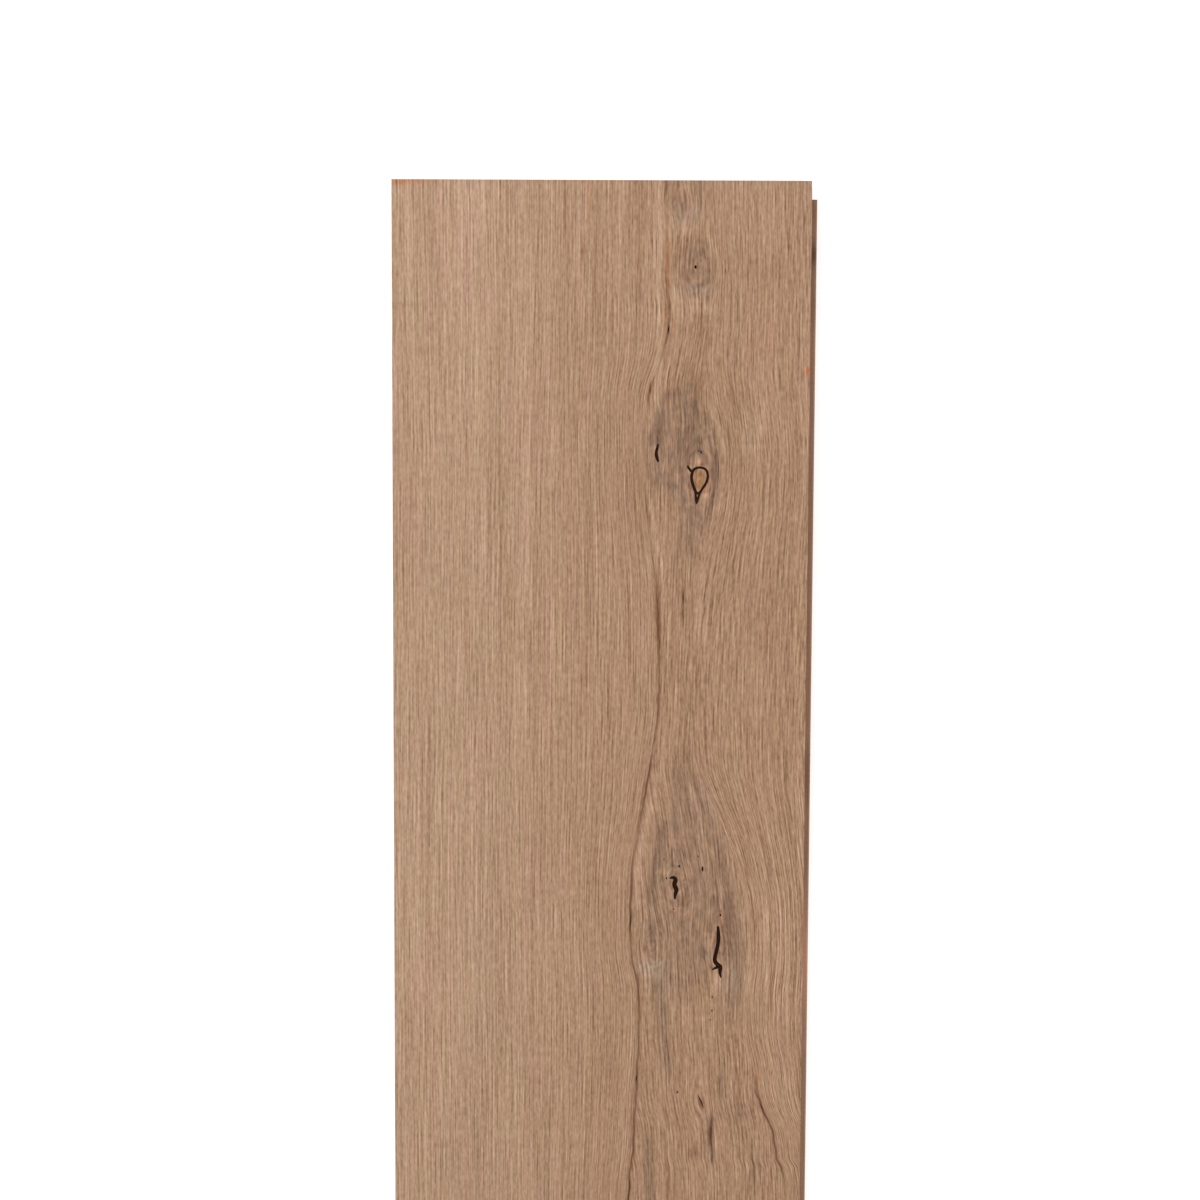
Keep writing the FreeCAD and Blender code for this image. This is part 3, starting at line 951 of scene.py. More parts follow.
@dataclass(frozen=True)
class FaceFinish(OakFinish):
    """The brushed and oiled face, with its knotty heart, checks and marks."""

    stretch: Stretch = Stretch(-100.0, 100.0, 0.0, 1910.0)

    JITTER: ClassVar[Streak] = Streak(3.2, 220.0, 0.85, 2.0, 1.0)
    FINE_CLEAR: ClassVar[Streak] = Streak(1.9, 30.0, 0.080, 8.8)
    FINE_KNOTTY: ClassVar[Streak] = Streak(1.9, 10.0, 0.100, 18.3)
    BETWEEN: ClassVar[Streak] = Streak(2.3, 28.0, 0.107, 25.7)
    BROAD_CLEAR: ClassVar[Streak] = Streak(3.0, 130.0, 0.048, 4.4)
    BROAD_KNOTTY: ClassVar[Streak] = Streak(3.0, 15.0, 0.076, 14.9)
    FINE_LINES: ClassVar[Lines] = Lines(1.45, 0.45)
    BETWEEN_LINES: ClassVar[Lines] = Lines(1.95, -0.5)
    BROAD_LINES: ClassVar[Lines] = Lines(2.8, 0.55)
    FLAME_LINES: ClassVar[Lines] = Lines(3.0, 0.45)
    LONG: ClassVar[Streak] = Streak(9.0, 600.0, 0.010, 0.3, 1.0)
    SHORT: ClassVar[Streak] = Streak(1.0, 5.0, 0.052, 3.9)
    GRAIN: ClassVar[Streak] = Streak(0.8, 2.2, 0.045, 11.2)
    HUE: ClassVar[Streak] = Streak(5.0, 55.0, 0.26, 71.0)
    FEATHER: ClassVar[Streak] = Streak(2.0, 15.0, 1.0, 61.0, 1.0)
    MOTTLE: ClassVar[Streak] = Streak(2.6, 4.6, 0.60, 44.0)
    WANDER: ClassVar[Streak] = Streak(60.0, 210.0, 0.9, 5.0)
    WAVER: ClassVar[Streak] = Streak(9.0, 45.0, 0.12, 8.0)
    WOBBLE: ClassVar[Streak] = Streak(30.0, 6.0, 0.3, 17.0)
    PORES: ClassVar[Streak] = Streak(1.1, 22.0, 1.0, 15.0)
    SLOW: ClassVar[Streak] = Streak(34.0, 130.0, 0.020, 41.0, 1.0)
    # The tone across the width: pale at the clear edge, darker at the heart.
    TONES: ClassVar[tuple[tuple[float, float], ...]] = (
        (-95, 0.055), (-45, 0.045), (-20, 0.01), (15, -0.03),
        (35, -0.035), (60, -0.03), (80, -0.02), (95, -0.02),
    )
    # The number of half widths after which a soft mark no longer shows, and an eye.
    FADE: ClassVar[float] = 2.6
    EYE_FADE: ClassVar[float] = 1.2

    def nearby(self, ovals: Iterable[Oval], fade: float = FADE) -> Iterator[Oval]:
        """Pick the ovals that show on this stretch.

        Args:
            ovals: The ovals of the whole face.
            fade: How many of its half widths and half lengths an oval reaches.

        Yields:
            Each oval that does, with room for the drift of its outline.
        """
        aside, beyond = 3.5, 12.0
        for oval in ovals:
            place = (oval.along, oval.across)
            if self.stretch.meets((place,), oval.half_width * fade + aside, oval.reach * fade + beyond):
                yield oval

    def follow(self, oak: OakGrain) -> None:
        """Bend the figure round the heart's two lines and its knots.

        Args:
            oak: The oak's figure, which is bent in place.
        """
        graph = oak.graph
        along = self.end - oak.lengthwise
        left = self.course(along, Heart.LEFT, Heart.WIDTH)
        plane = graph.combined(oak.across, along)
        across = oak.across + (graph.streaks(plane, self.WANDER) + graph.streaks(plane, self.WAVER))
        before = across - (left - Heart.REST_LEFT) * math.e ** ((across - left) / Heart.EASE_LEFT)
        if self.stretch.right < Heart.LEFT.least():
            oak.bend(before)
            return
        right = self.course(along, Heart.RIGHT, Heart.WIDTH)
        oak.heart = (left, right)
        after = across - (right - Heart.REST_RIGHT) * math.e ** ((right - across) / Heart.EASE_RIGHT)
        within = across - (left + right) / 2 + (Heart.REST_LEFT + Heart.REST_RIGHT) / 2
        is_before = across < left
        is_after = across > right
        flow = before * is_before + after * is_after + within * (1 - is_before - is_after)
        for knot in self.nearby(Heart.KNOTS):
            near = self.oval(graph, plane, knot)
            flow = flow - (oak.across - knot.across) * near * Heart.SWIRL
        oak.bend(flow)

    @staticmethod
    def course(along: Value, course: Course, top: float = 1.0) -> Value:
        """Turn a course into a value.

        Args:
            along: The distance from the grooved end.
            course: The course's stations.
            top: The highest number that the course may take.

        Returns:
            The course's number at that distance.
        """
        curve = [(at / Heart.REACH, number / top) for at, number in course.stations]
        sockets = {"Value": along / Heart.REACH}
        return along.graph.add("ShaderNodeFloatCurve", {"curve": curve}, sockets) * top

    @staticmethod
    def almond(across: Value, along: Value, eye: Eye) -> Value:
        """Shade the almond of an eye.

        Args:
            across: The place across the face.
            along: The distance from the grooved end.
            eye: The eye.

        Returns:
            1 inside the eye, falling away to 0 over its edge.
        """
        outside, inside = 1.2, 0.6
        graph = across.graph
        aside = graph.math("ABSOLUTE", (across - eye.across) / eye.half_width)
        down = along - eye.along
        reach = graph.math("MAXIMUM", down / eye.fall, down / -eye.half_length)
        return (aside + reach * reach).ramp(outside, inside)

    @staticmethod
    def stroke(across: Value, along: Value, stroke: Stroke) -> Value:
        """Draw a stroke, which fades away to its sides and at its two ends.

        Args:
            across: The place across the face.
            along: The distance from the grooved end.
            stroke: The stroke.

        Returns:
            The strength of the stroke.
        """
        quickness = 6
        graph = across.graph
        (start, _), (end, _) = stroke.places[0], stroke.places[-1]
        low = min(place for _, place in stroke.places)
        span = max(place for _, place in stroke.places) - low + 1
        share = (along - start) / (end - start)
        curve = [((at - start) / (end - start), (place - low) / span) for at, place in stroke.places]
        line = graph.add("ShaderNodeFloatCurve", {"curve": curve}, {"Value": share}) * span + low
        fade = (share * (1 - share) * quickness).capped()
        return (across - line).bell(stroke.half_width) * fade * stroke.strength

    def figure(self, oak: OakGrain) -> Value:
        """Draw fine lines that break off, late on the clear side and soon on the knotty one.

        Args:
            oak: The oak's figure.

        Returns:
            Their light and dark about zero, with the loose grain and the rings round the knots.
        """
        clear_edge, knotty_edge, overlap = -30.0, 70.0, 1.5
        fine_least, broad_least, flame_strength = 0.015, 0.02, 0.125
        turn = oak.across.ramp(clear_edge, knotty_edge)
        clear = (overlap - turn * overlap).capped()
        knotty = (turn * overlap).capped()
        jitter = oak.streaks(self.JITTER)
        fine = oak.streaks(self.FINE_CLEAR) * clear + oak.streaks(self.FINE_KNOTTY) * knotty + fine_least
        broad = oak.streaks(self.BROAD_CLEAR) * clear + oak.streaks(self.BROAD_KNOTTY) * knotty + broad_least
        lines = oak.lines(self.FINE_LINES, jitter) * fine + oak.lines(self.BROAD_LINES, jitter) * broad
        lines = lines + oak.lines(self.BETWEEN_LINES, jitter) * oak.streaks(self.BETWEEN)
        for flame in self.nearby((Heart.FLAME,)):
            place = oak.graph.combined(oak.across, self.end - oak.lengthwise)
            mask = self.oval(oak.graph, place, flame) * flame_strength
            lines = lines + oak.lines(self.FLAME_LINES, jitter) * mask
        loose = oak.streaks(self.LONG) + oak.streaks(self.SHORT) + oak.streaks(self.GRAIN)
        return lines + loose + self.ripples(oak)

    def texture(self, graph: Graph) -> Value:
        """Shape the brushed grain.

        Args:
            graph: The material's nodes.

        Returns:
            The height, about zero.
        """
        oak = OakGrain(graph)
        oak.bend(oak.across)
        return oak.streaks(self.PORES)

    def ripples(self, oak: OakGrain) -> Operand:
        """Draw the rings round each knot.

        Args:
            oak: The oak's figure.

        Returns:
            Their light and dark about zero.
        """
        turns, fading = 17.0, math.exp(-0.6)
        graph = oak.graph
        place = graph.combined(oak.across, self.end - oak.lengthwise)
        total: Operand = 0.0
        for knot in self.nearby(Heart.KNOTS):
            if knot.ripple:
                drift = graph.streaks(place, Streak(3.0, 5.0, 2.0, knot.along))
                squared = self.squared(graph, place, knot)
                near = fading ** squared
                total = total + (squared.root() * turns + drift).sine() * near * knot.ripple
        return total

    def tool_marks(self, oak: OakGrain) -> Operand:
        """Return nothing, because brushing leaves no cutter marks."""
        return 0.0

    def shading(self, oak: OakGrain) -> Value:
        """Change the tone slowly across the width and away from the grooved end.

        Args:
            oak: The oak's figure.

        Returns:
            The change, about zero.
        """
        level_at, last, fall = 200, 600.0, 0.0001
        along = (self.end - oak.lengthwise).capped(last)
        return self.profile(oak.across, self.TONES) + (level_at - along) * fall + oak.streaks(self.SLOW)

    @staticmethod
    def profile(across: Value, levels: Sequence[tuple[float, float]]) -> Value:
        """Let a level change over the width.

        Args:
            across: The place across the face.
            levels: Places across, each with the level there.

        Returns:
            The level at the place.
        """
        reach, scale = 200.0, 10.0
        curve = [(place / reach + 0.5, level * scale) for place, level in levels]
        sockets = {"Value": across / reach + 0.5}
        return across.graph.add("ShaderNodeFloatCurve", {"curve": curve}, sockets) / scale

    def stained(self, oak: OakGrain, colour: Value) -> Value:
        """Put the face's marks and its two long checks on it.

        Args:
            oak: The oak's figure.
            colour: The colour without stains.

        Returns:
            The colour with them.
        """
        patch_aside, patch_along, eye_along, stroke_aside = 1.2, 5.0, 2.5, 0.35
        cool_edge, warm_edge = -60.0, 40.0
        stroke_room, stroke_end = 1.5, 6.0
        halo, halo_strength, core, core_strength = 1.5, 0.26, 0.60, 0.95
        graph = oak.graph
        along = self.end - oak.lengthwise
        place = graph.combined(oak.across, along)
        feather = oak.streaks(self.FEATHER)
        drifted = graph.combined(oak.across + feather * patch_aside, along + feather * patch_along)
        streaked = oak.across + feather * stroke_aside
        hue = oak.streaks(self.HUE)
        warmth = oak.across.ramp(cool_edge, warm_edge)
        masks: dict[Stain, Value] = {Stain.STRAW: hue, Stain.ROSE: hue * -1.0, Stain.WARM: warmth}

        def add(stain: Stain, mask: Value) -> None:
            """Add a mask to what a stain already has."""
            masks[stain] = mask + masks.get(stain, 0.0)

        mottle = oak.streaks(self.MOTTLE)
        for eye in self.nearby(FaceMarks.EYES, self.EYE_FADE):
            almond = self.almond(streaked, along + feather * eye_along, eye) * eye.strength
            add(eye.stain, almond * (1.0 + mottle))
            add(Stain.ASH, almond * mottle)
        for mark in self.nearby(FaceMarks.PATCHES):
            add(mark.stain, self.oval(graph, drifted, mark) * mark.strength)
        for mark in self.nearby(FaceMarks.FLECKS):
            add(mark.stain, self.oval(graph, place, mark) * mark.strength)
        for stroke in FaceMarks.STROKES:
            if self.stretch.meets(stroke.places, stroke.half_width * self.FADE + stroke_room, stroke_end):
                add(stroke.stain, self.stroke(streaked, along, stroke))
        wobble = graph.streaks(place, self.WOBBLE)
        for line, check in zip(oak.heart, (Heart.LEFT_CHECK, Heart.RIGHT_CHECK)):
            aside = oak.across + wobble - line
            strength = self.course(along, check)
            add(Stain.RUST, aside.bell(halo) * strength * halo_strength)
            add(Stain.UMBER, aside.bell(core) * strength * core_strength)
        for stain, mask in masks.items():
            colour = graph.tint(colour, stain.value, mask.capped())
        return colour


@dataclass(frozen=True)
class FillerFinish:
    """Dark filler in the cracks and pinholes."""

    name: str = "dark_knot_filler"
    darkest: Colour = linear(24, 13, 9)
    palest: Colour = linear(66, 40, 27)
    tone: float = 0.4
    tone_change: float = 0.3
    roughness: float = 0.7
    roughness_change: float = 0.1
    specular: float = 0.06
    bump_height: float = 0.0001
    bump_strength: float = 0.5

    CRUMBS: ClassVar[Streak] = Streak(0.6, 0.9, 1.0, 2.0, 2.0)

    def material(self) -> bpy.types.Material:
        """Build the filler's material.

        Returns:
            The material, of dark crumbs.
        """
        graph = Graph(self.name)
        grain = OakGrain(graph).streaks(self.CRUMBS)
        stops = [(0.0, self.darkest), (1.0, self.palest)]
        tone = self.tone + grain * self.tone_change
        bump = {"Strength": self.bump_strength, "Distance": self.bump_height, "Height": grain}
        sockets = {
            "Base Color": graph.add("ShaderNodeValToRGB", {"stops": stops}, {0: tone}),
            "Roughness": self.roughness + grain * self.roughness_change,
            "Specular IOR Level": self.specular,
            "Normal": graph.add("ShaderNodeBump", None, bump),
        }
        return graph.surface(graph.add("ShaderNodeBsdfPrincipled", None, sockets))


# Each finish's shades, from the darkest to the palest.
FACE_SHADES = (
    linear(98, 67, 45), linear(135, 102, 76), linear(171, 137, 110),
    linear(199, 166, 138), linear(222, 193, 167),
)
JOINT_SHADES = (
    linear(98, 68, 50), linear(131, 96, 74), linear(161, 124, 99),
    linear(184, 148, 122), linear(203, 170, 144),
)
END_SHADES = (
    linear(80, 54, 38), linear(118, 86, 63), linear(150, 116, 90),
    linear(178, 144, 116), linear(200, 168, 140),
)
UNDERSIDE_SHADES = (
    linear(120, 92, 68), linear(154, 123, 96), linear(184, 152, 124),
    linear(206, 176, 148), linear(224, 198, 172),
)


class Side(IntEnum):
    """The material slots of the board: stretches of the face, and each way that other sides were worked."""

    CLEAR_HEAD = 0
    CLEAR_FOOT = 1
    HEAD = 2
    UPPER_EYE = 3
    LOWER_EYE = 4
    FOOT = 5
    PLAIN = 6
    JOINT = 7
    END = 8
    UNDERSIDE = 9
    FILLER = 10


# The stretches of the face, each with only the marks that show on it.
STRETCHES = {
    Side.CLEAR_HEAD: Stretch(-100.0, 5.0, 0.0, 240.0),
    Side.CLEAR_FOOT: Stretch(-100.0, 5.0, 240.0, 490.0),
    Side.HEAD: Stretch(5.0, 100.0, 0.0, 80.0),
    Side.UPPER_EYE: Stretch(5.0, 100.0, 80.0, 240.0),
    Side.LOWER_EYE: Stretch(5.0, 100.0, 240.0, 400.0),
    Side.FOOT: Stretch(5.0, 100.0, 400.0, 490.0),
    Side.PLAIN: Stretch(-100.0, 100.0, 490.0, 1910.0),
}


@dataclass
class BakeBlock:
    """A block of the board's texture sheet, with the stretch of the board that it holds."""

    left: float
    right: float
    bottom: float
    top: float
    first: tuple[float, float]
    second: tuple[float, float]

    def place(self, first: float, second: float) -> tuple[float, float]:
        """Find a point of the block on the sheet.

        Args:
            first: The point's measure that runs to the right on the sheet.
            second: The one that runs up.

        Returns:
            The place on the sheet.
        """
        share_u = (first - self.first[0]) / (self.first[1] - self.first[0])
        share_v = (second - self.second[0]) / (self.second[1] - self.second[0])
        u = self.left + share_u * (self.right - self.left)
        return u, self.bottom + share_v * (self.top - self.bottom)


@dataclass
class Floorboard:
    """The board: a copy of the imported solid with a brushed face, open cracks and its finishes."""

    node: str
    body: str
    name: str = "oak_floorboard"
    face_cuts: int = 189
    relief: float = 0.00006
    relief_margin: float = 0.004
    pinhole_depth: float = 1.6
    low: Vector = field(init=False)
    high: Vector = field(init=False)
    piece: bpy.types.Object = field(init=False)

    # Sizes in metres by which a side is told from the others.
    SAME_PLACE: ClassVar[float] = 1e-6
    BELOW_BEVELS: ClassVar[float] = 0.018
    RELIEF_TOP: ClassVar[float] = 0.004
    RELIEF_EDGE: ClassVar[float] = 0.09
    # How far a normal leans before a side counts as facing that way.
    LEAN: ClassVar[float] = 0.5
    LEVEL: ClassVar[float] = 0.9

    def __post_init__(self) -> None:
        """Take the board's size from the frame."""
        low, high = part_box(self.node)
        self.low = Vector(low)
        self.high = Vector(high)

    def build(self) -> None:
        """Model the board and cut its cracks."""
        mesh = self.stock()
        self.piece = bpy.data.objects.new(self.name, mesh)
        bpy.context.scene.collection.objects.link(self.piece)
        self.cut(self.cracks())
        self.lay_out()

    def stock(self) -> bpy.types.Mesh:
        """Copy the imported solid, merge its triangles and divide its face for the brushed relief.

        Returns:
            The new mesh.
        """
        source = bpy.data.objects[self.node].data
        mesh = bpy.data.meshes.new(self.name)
        shape = bmesh.new()
        shape.from_mesh(source)
        bmesh.ops.remove_doubles(shape, verts=shape.verts, dist=self.SAME_PLACE)
        bmesh.ops.dissolve_limit(
            shape, angle_limit=math.radians(1), verts=shape.verts, edges=shape.edges, delimit=set()
        )
        face = max(shape.faces, key=lambda side: side.calc_center_median().z)
        bmesh.ops.subdivide_edges(shape, edges=face.edges[:], cuts=self.face_cuts, use_grid_fill=True)
        self.brush(shape)
        self.part_bevels(shape)
        for side in shape.faces:
            side.material_index = self.side_of(side)
            side.smooth = side.material_index in STRETCHES
        shape.to_mesh(mesh)
        shape.free()
        return mesh

    def brush(self, shape: bmesh.types.BMesh) -> None:
        """Wear the soft wood of the face down a little, between its edges.

        Args:
            shape: The board, whose face has been divided.
        """
        streak_width, streak_length, wave_width, wave_length = 0.0042, 0.160, 0.021, 0.300
        wave_seed, middle, share = 5.0, 0.5, 0.35
        for vertex in shape.verts:
            place = vertex.co
            if place.z < self.high.z - self.SAME_PLACE:
                continue
            from_ends = min(self.high.y - place.y, place.y - self.low.y)
            inset = min(from_ends, place.x - self.low.x, self.high.x - place.x)
            ease = min(max(inset / self.relief_margin - 1, 0.0), 1.0)
            streak = noise.noise(Vector((place.x / streak_width, place.y / streak_length, 0.0)))
            wave = noise.noise(Vector((place.x / wave_width, place.y / wave_length, wave_seed)))
            vertex.co.z -= self.relief * ease * (middle + share * streak + share * wave)

    def part_bevels(self, shape: bmesh.types.BMesh) -> None:
        """Part the bevels round the face where one stretch of it gives way to the next.

        Args:
            shape: The board.
        """
        near = 1e-7
        for stretch in STRETCHES.values():
            corner = self.face_point(stretch.right, stretch.stop)
            for direction in ((1.0, 0.0, 0.0), (0.0, 1.0, 0.0)):
                bevels = [
                    side for side in shape.faces if self.is_face(side) and side.normal.z < self.LEVEL
                ]
                bounds = {part for side in bevels for part in (*side.verts, *side.edges)}
                bmesh.ops.bisect_plane(
                    shape, geom=[*bevels, *bounds], dist=near, plane_co=corner, plane_no=direction
                )

    def is_face(self, side: bmesh.types.BMFace) -> bool:
        """Tell whether a side belongs to the face or its bevels."""
        return side.calc_center_median().z > self.BELOW_BEVELS and side.normal.z > self.LEAN

    def side_of(self, side: bmesh.types.BMFace) -> Side:
        """Tell how a side of the board was worked, from where it faces.

        Args:
            side: The side.

        Returns:
            Its material slot.
        """
        normal = side.normal
        middle = side.calc_center_median()
        if self.is_face(side):
            across, along = middle.x / MM, (self.high.y - middle.y) / MM
            return next(part for part, stretch in STRETCHES.items() if stretch.holds(across, along))
        if abs(normal.y) > self.LEAN:
            return Side.END
        if middle.z < self.RELIEF_TOP and abs(middle.x) < self.RELIEF_EDGE:
            return Side.UNDERSIDE
        return Side.JOINT

    def face_point(self, across: float, along: float) -> Vector:
        """Return the point of the face at a place in millimetres."""
        return Vector((across * MM, self.high.y - along * MM, self.high.z))

    def cracks(self) -> bpy.types.Object:
        """Make the cutter for every crack, open check and pinhole.

        Returns:
            The cutter, as one object.
        """
        cracks = list(FaceMarks.CRACKS)
        for course, stretches in ((Heart.LEFT, FaceMarks.LEFT_OPEN), (Heart.RIGHT, FaceMarks.RIGHT_OPEN)):
            cracks.extend(self.open_check(course, *stretch) for stretch in stretches)
        shape = bmesh.new()
        for crack in cracks:
            tube = self.tube(crack)
            shape.from_mesh(tube)
            bpy.data.meshes.remove(tube)
        for across, along, half_width, half_length in FaceMarks.PINHOLES:
            size = Vector((half_width, half_length, half_width * self.pinhole_depth)) * MM
            matrix = Matrix.LocRotScale(self.face_point(across, along), None, size)
            bmesh.ops.create_icosphere(shape, subdivisions=2, radius=1.0, matrix=matrix)
        for side in shape.faces:
            side.material_index = Side.FILLER
        mesh = bpy.data.meshes.new("crack_cutter")
        shape.to_mesh(mesh)
        shape.free()
        cutter = bpy.data.objects.new("crack_cutter", mesh)
        bpy.context.scene.collection.objects.link(cutter)
        return cutter

    @staticmethod
    def open_check(course: Course, start: float, end: float, half_width: float) -> Crack:
        """Find the crack that stands open along a stretch of a check.

        Args:
            course: The line that the check follows.
            start: Where the stretch starts, from the grooved end.
            end: Where it ends.
            half_width: Its half width in the middle.

        Returns:
            The crack, narrower at its two ends.
        """
        shares = (0.0, 0.2, 0.4, 0.6, 0.8, 1.0)
        tip, swell = 0.25, 0.75
        places = []
        for share in shares:
            along = start + (end - start) * share
            taper = tip + swell * math.sin(math.pi * share)
            places.append((course.across(along), along, half_width * taper))
        return Crack(tuple(places))

    def tube(self, crack: Crack) -> bpy.types.Mesh:
        """Run a tube of changing width along a crack, with its axis on the face.

        Args:
            crack: The crack's places and half widths.

        Returns:
            The tube as a closed mesh.
        """
        curve = bpy.data.curves.new("crack", "CURVE")
        curve.dimensions = "3D"
        curve.bevel_depth = MM
        curve.bevel_resolution = 2
        curve.resolution_u = 4
        curve.use_fill_caps = True
        spline = curve.splines.new("NURBS")
        spline.points.add(len(crack.places) - 1)
        for point, (across, along, half_width) in zip(spline.points, crack.places):
            point.co = (*self.face_point(across, along), 1.0)
            point.radius = half_width
        spline.order_u = 3
        spline.use_endpoint_u = not crack.closed
        spline.use_cyclic_u = crack.closed
        holder = bpy.data.objects.new("crack", curve)
        mesh = bpy.data.meshes.new_from_object(holder)
        bpy.data.objects.remove(holder)
        bpy.data.curves.remove(curve)
        return mesh

    def cut(self, cutter: bpy.types.Object) -> None:
        """Cut the board.

        Args:
            cutter: The shape to take away, which is deleted afterwards.
        """
        for _ in Side:
            self.piece.data.materials.append(None)
            cutter.data.materials.append(None)
        modifier = self.piece.modifiers.new("cracks", "BOOLEAN")
        modifier.operation = "DIFFERENCE"
        modifier.solver = "EXACT"
        modifier.use_self = True
        modifier.object = cutter
        graph = bpy.context.evaluated_depsgraph_get()
        mesh = bpy.data.meshes.new_from_object(self.piece.evaluated_get(graph))
        self.piece.modifiers.clear()
        whole = self.piece.data
        self.piece.data = mesh
        mesh.name = self.name
        bpy.data.meshes.remove(whole)
        blade = cutter.data
        bpy.data.objects.remove(cutter)
        bpy.data.meshes.remove(blade)

    def lay_out(self) -> None:
        """Lay the board's sides out on one sheet, with the face in two long strips."""
        span = (self.low.x, self.high.x)
        length = (self.low.y, self.high.y)
        depth = (self.low.z, self.high.z)
        bottom, top, groove_walls = 0.004, 0.996, 0.035
        far = BakeBlock(0.004, 0.364, bottom, top, span, (0.0, self.high.y))
        near = BakeBlock(0.372, 0.732, bottom, top, span, (self.low.y, 0.0))
        under = BakeBlock(0.740, 0.870, bottom, top, (self.low.x, self.high.x + groove_walls), length)
        right = BakeBlock(0.876, 0.898, bottom, top, depth, length)
        left = BakeBlock(0.904, 0.926, bottom, top, depth, length)
        far_end = BakeBlock(0.934, 0.994, bottom, 0.244, depth, span)
        near_end = BakeBlock(0.934, 0.994, 0.252, 0.492, depth, span)
        walls = BakeBlock(0.934, 0.994, 0.500, top, span, length)
        layer = self.piece.data.uv_layers.new(name="OFBake")
        mesh = self.piece.data
        for polygon in mesh.polygons:
            normal, middle = polygon.normal, polygon.center
            for corner, vertex in zip(polygon.loop_indices, polygon.vertices):
                place = mesh.vertices[vertex].co
                if polygon.material_index in (*STRETCHES, Side.FILLER):
                    uv = (far if middle.y > 0 else near).place(place.x, place.y)
                elif polygon.material_index == Side.END:
                    uv = (far_end if normal.y > 0 else near_end).place(place.z, place.x)
                elif polygon.material_index == Side.UNDERSIDE:
                    uv = under.place(self.unrolled(place), place.y)
                elif abs(normal.x) > self.LEAN:
                    uv = (right if normal.x > 0 else left).place(place.z, place.y)
                else:
                    uv = walls.place(place.x, place.y)
                layer.data[corner].uv = uv

    @staticmethod
    def unrolled(place: Vector) -> float:
        """Measure a place across the underside along the walls of its relief grooves.

        Args:
            place: The place.

        Returns:
            The measure, in metres.
        """
        pitch, depth, extra = 0.020, 0.003, 0.002
        first_groove, margin = -5, 0.01
        groove = math.floor(place.x / pitch)
        middle = (groove + 0.5) * pitch
        rise = min(max(place.z / depth, 0.0), 1.0)
        walls = rise if place.x < middle else 2 - rise
        return place.x + (2 * (groove - first_groove) + walls) * extra - margin

    def dress(self) -> None:
        """Give every side its finish and seat the board in the frame."""
        finishes = {
            Side.JOINT: OakFinish(
                "machined_oak_joint", JOINT_SHADES, contrast=1.3, roughness=0.7, mark_pitch=2.4,
                mark_depth=0.012, end=self.high.y / MM, marks=FaceMarks.TONGUE,
            ),
            Side.END: OakFinish(
                "sawn_oak_end", END_SHADES, contrast=1.6, roughness=0.8, bump_height=0.0001, mark_pitch=3.0,
            ),
            Side.UNDERSIDE: OakFinish(
                "planed_oak_underside", UNDERSIDE_SHADES, contrast=1.2, roughness=0.72, mark_pitch=5.5,
                mark_depth=0.010,
            ),
            Side.FILLER: FillerFinish(),
        }
        for side, stretch in STRETCHES.items():
            name = f"brushed_oak_{side.name.lower()}"
            finishes[side] = FaceFinish(name, FACE_SHADES, end=self.high.y / MM, stretch=stretch)
        for side, finish in finishes.items():
            self.piece.data.materials[side] = finish.material()
        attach(self.piece, self.body)
        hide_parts(self.node)


@dataclass(frozen=True)
class Softbox:
    """A square lamp: its place and size in metres, and its power in watts."""

    name: str
    place: tuple[float, float, float]
    size: float
    power: float


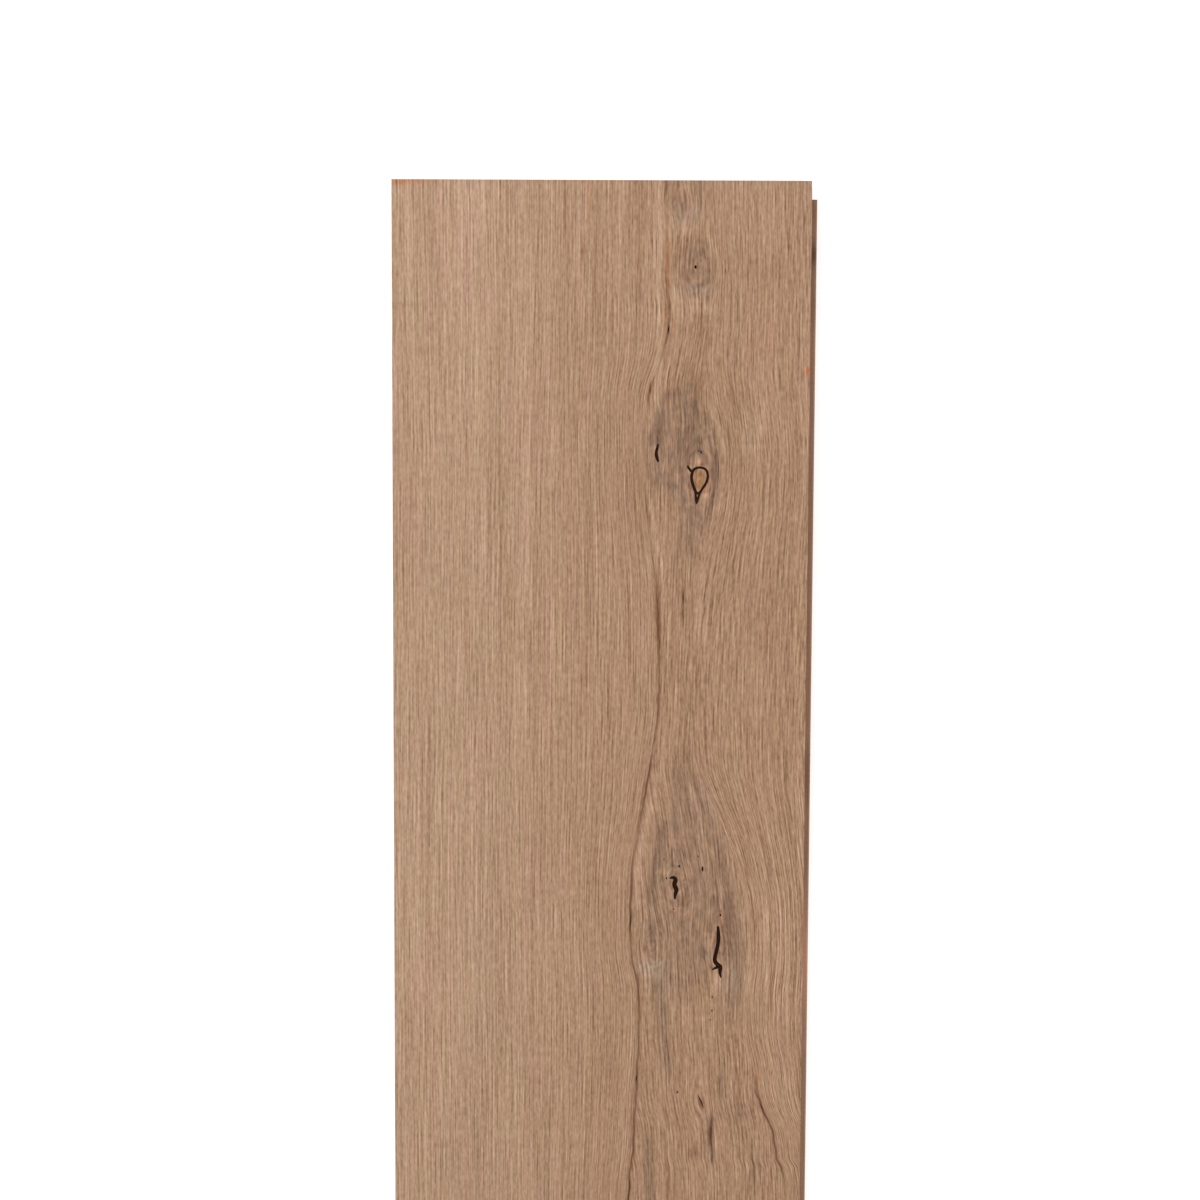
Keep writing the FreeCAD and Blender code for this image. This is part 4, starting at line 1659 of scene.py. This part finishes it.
@dataclass
class Studio:
    """A plain white floor, soft light and a camera that looks down on the grooved end."""

    floor_size: float = 30.0
    floor_drop: float = 0.0002
    floor_colour: Colour = (0.86, 0.86, 0.86)
    floor_roughness: float = 0.9
    floor_specular: float = 0.1
    floor_glow: float = 0.5
    shade_width: float = 0.19
    shade_length: float = 1.9
    shade_edge: float = 0.004
    sky_strength: float = 0.65
    key: Softbox = Softbox("key", (-1.4, 2.2, 2.6), 1.8, 41.5)
    fill: Softbox = Softbox("fill", (1.8, -1.6, 2.8), 2.2, 20.0)
    aim: tuple[float, float, float] = (0.0, 0.5, 0.0)
    lens: float = 75.0
    near_clip: float = 0.02
    camera_across: float = -0.0005
    camera_lengthwise: float = 0.8725
    camera_height: float = 1.1609
    camera_tilt: float = math.radians(-5.655)
    camera_roll: float = math.radians(0.2436)

    def build(self) -> None:
        """Set up the floor, the light and the camera."""
        self.floor()
        self.light()
        self.camera()

    def floor(self) -> None:
        """Lay a pale floor that glows a little, so that it stays white, except under the board."""
        shape = bmesh.new()
        bmesh.ops.create_grid(shape, x_segments=1, y_segments=1, size=self.floor_size / 2)
        bmesh.ops.translate(shape, verts=shape.verts, vec=(0.0, 0.0, -self.floor_drop))
        mesh = bpy.data.meshes.new("studio_floor")
        shape.to_mesh(mesh)
        shape.free()
        graph = Graph("studio_floor")
        place = graph.add("ShaderNodeTexCoord", None, None, "Object")
        across, lengthwise, _ = graph.split(graph.vector("ABSOLUTE", place))
        clear = graph.math("MAXIMUM", across - self.shade_width / 2, lengthwise - self.shade_length / 2)
        glow = clear.ramp(-self.shade_edge, 0.0)
        sockets = {
            "Base Color": (*self.floor_colour, 1.0),
            "Roughness": self.floor_roughness,
            "Specular IOR Level": self.floor_specular,
            "Emission Color": graph.combined(glow, glow, glow),
            "Emission Strength": self.floor_glow,
        }
        mesh.materials.append(graph.surface(graph.add("ShaderNodeBsdfPrincipled", None, sockets)))
        graph.material.cycles.emission_sampling = "NONE"
        floor = bpy.data.objects.new("studio_floor", mesh)
        bpy.context.scene.collection.objects.link(floor)

    def light(self) -> None:
        """Light the board evenly, a little more from the far left."""
        scene = bpy.context.scene
        scene.view_settings.view_transform = "Standard"
        world = bpy.data.worlds.new("studio")
        world.use_nodes = True
        backdrop = world.node_tree.nodes["Background"]
        backdrop.inputs["Color"].default_value = (1.0, 1.0, 1.0, 1.0)
        backdrop.inputs["Strength"].default_value = self.sky_strength
        scene.world = world
        self.hang(self.key)
        self.hang(self.fill)

    def hang(self, box: Softbox) -> None:
        """Hang a softbox that faces the middle of the board's far half.

        Args:
            box: The softbox.
        """
        lamp = bpy.data.lights.new(box.name, "AREA")
        lamp.size = box.size
        lamp.energy = box.power
        holder = bpy.data.objects.new(box.name, lamp)
        holder.location = box.place
        facing = Vector(self.aim) - Vector(box.place)
        holder.rotation_euler = facing.to_track_quat("-Z", "Y").to_euler()
        bpy.context.scene.collection.objects.link(holder)

    def camera(self) -> None:
        """Look down on the board as the photograph does."""
        lens = bpy.data.cameras.new("camera")
        lens.lens = self.lens
        lens.clip_start = self.near_clip
        holder = bpy.data.objects.new("camera", lens)
        holder.location = (self.camera_across, self.camera_lengthwise, self.camera_height)
        turn = Matrix.Rotation(self.camera_roll, 3, "Z") @ Matrix.Rotation(self.camera_tilt, 3, "X")
        holder.rotation_euler = turn.to_euler()
        bpy.context.scene.collection.objects.link(holder)
        bpy.context.scene.camera = holder


def main() -> None:
    """Build the board and the studio."""
    logging.basicConfig(level=logging.INFO, format="%(name)s: %(message)s")
    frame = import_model()
    board = Floorboard(next(iter(frame["nodes"])), next(iter(frame["bodies"])))
    board.build()
    board.dress()
    LOG.info("%s: %d faces", board.name, len(board.piece.data.polygons))
    Studio().build()
    LOG.info("studio: floor, lights and camera")


if __name__ == "__main__":
    main()
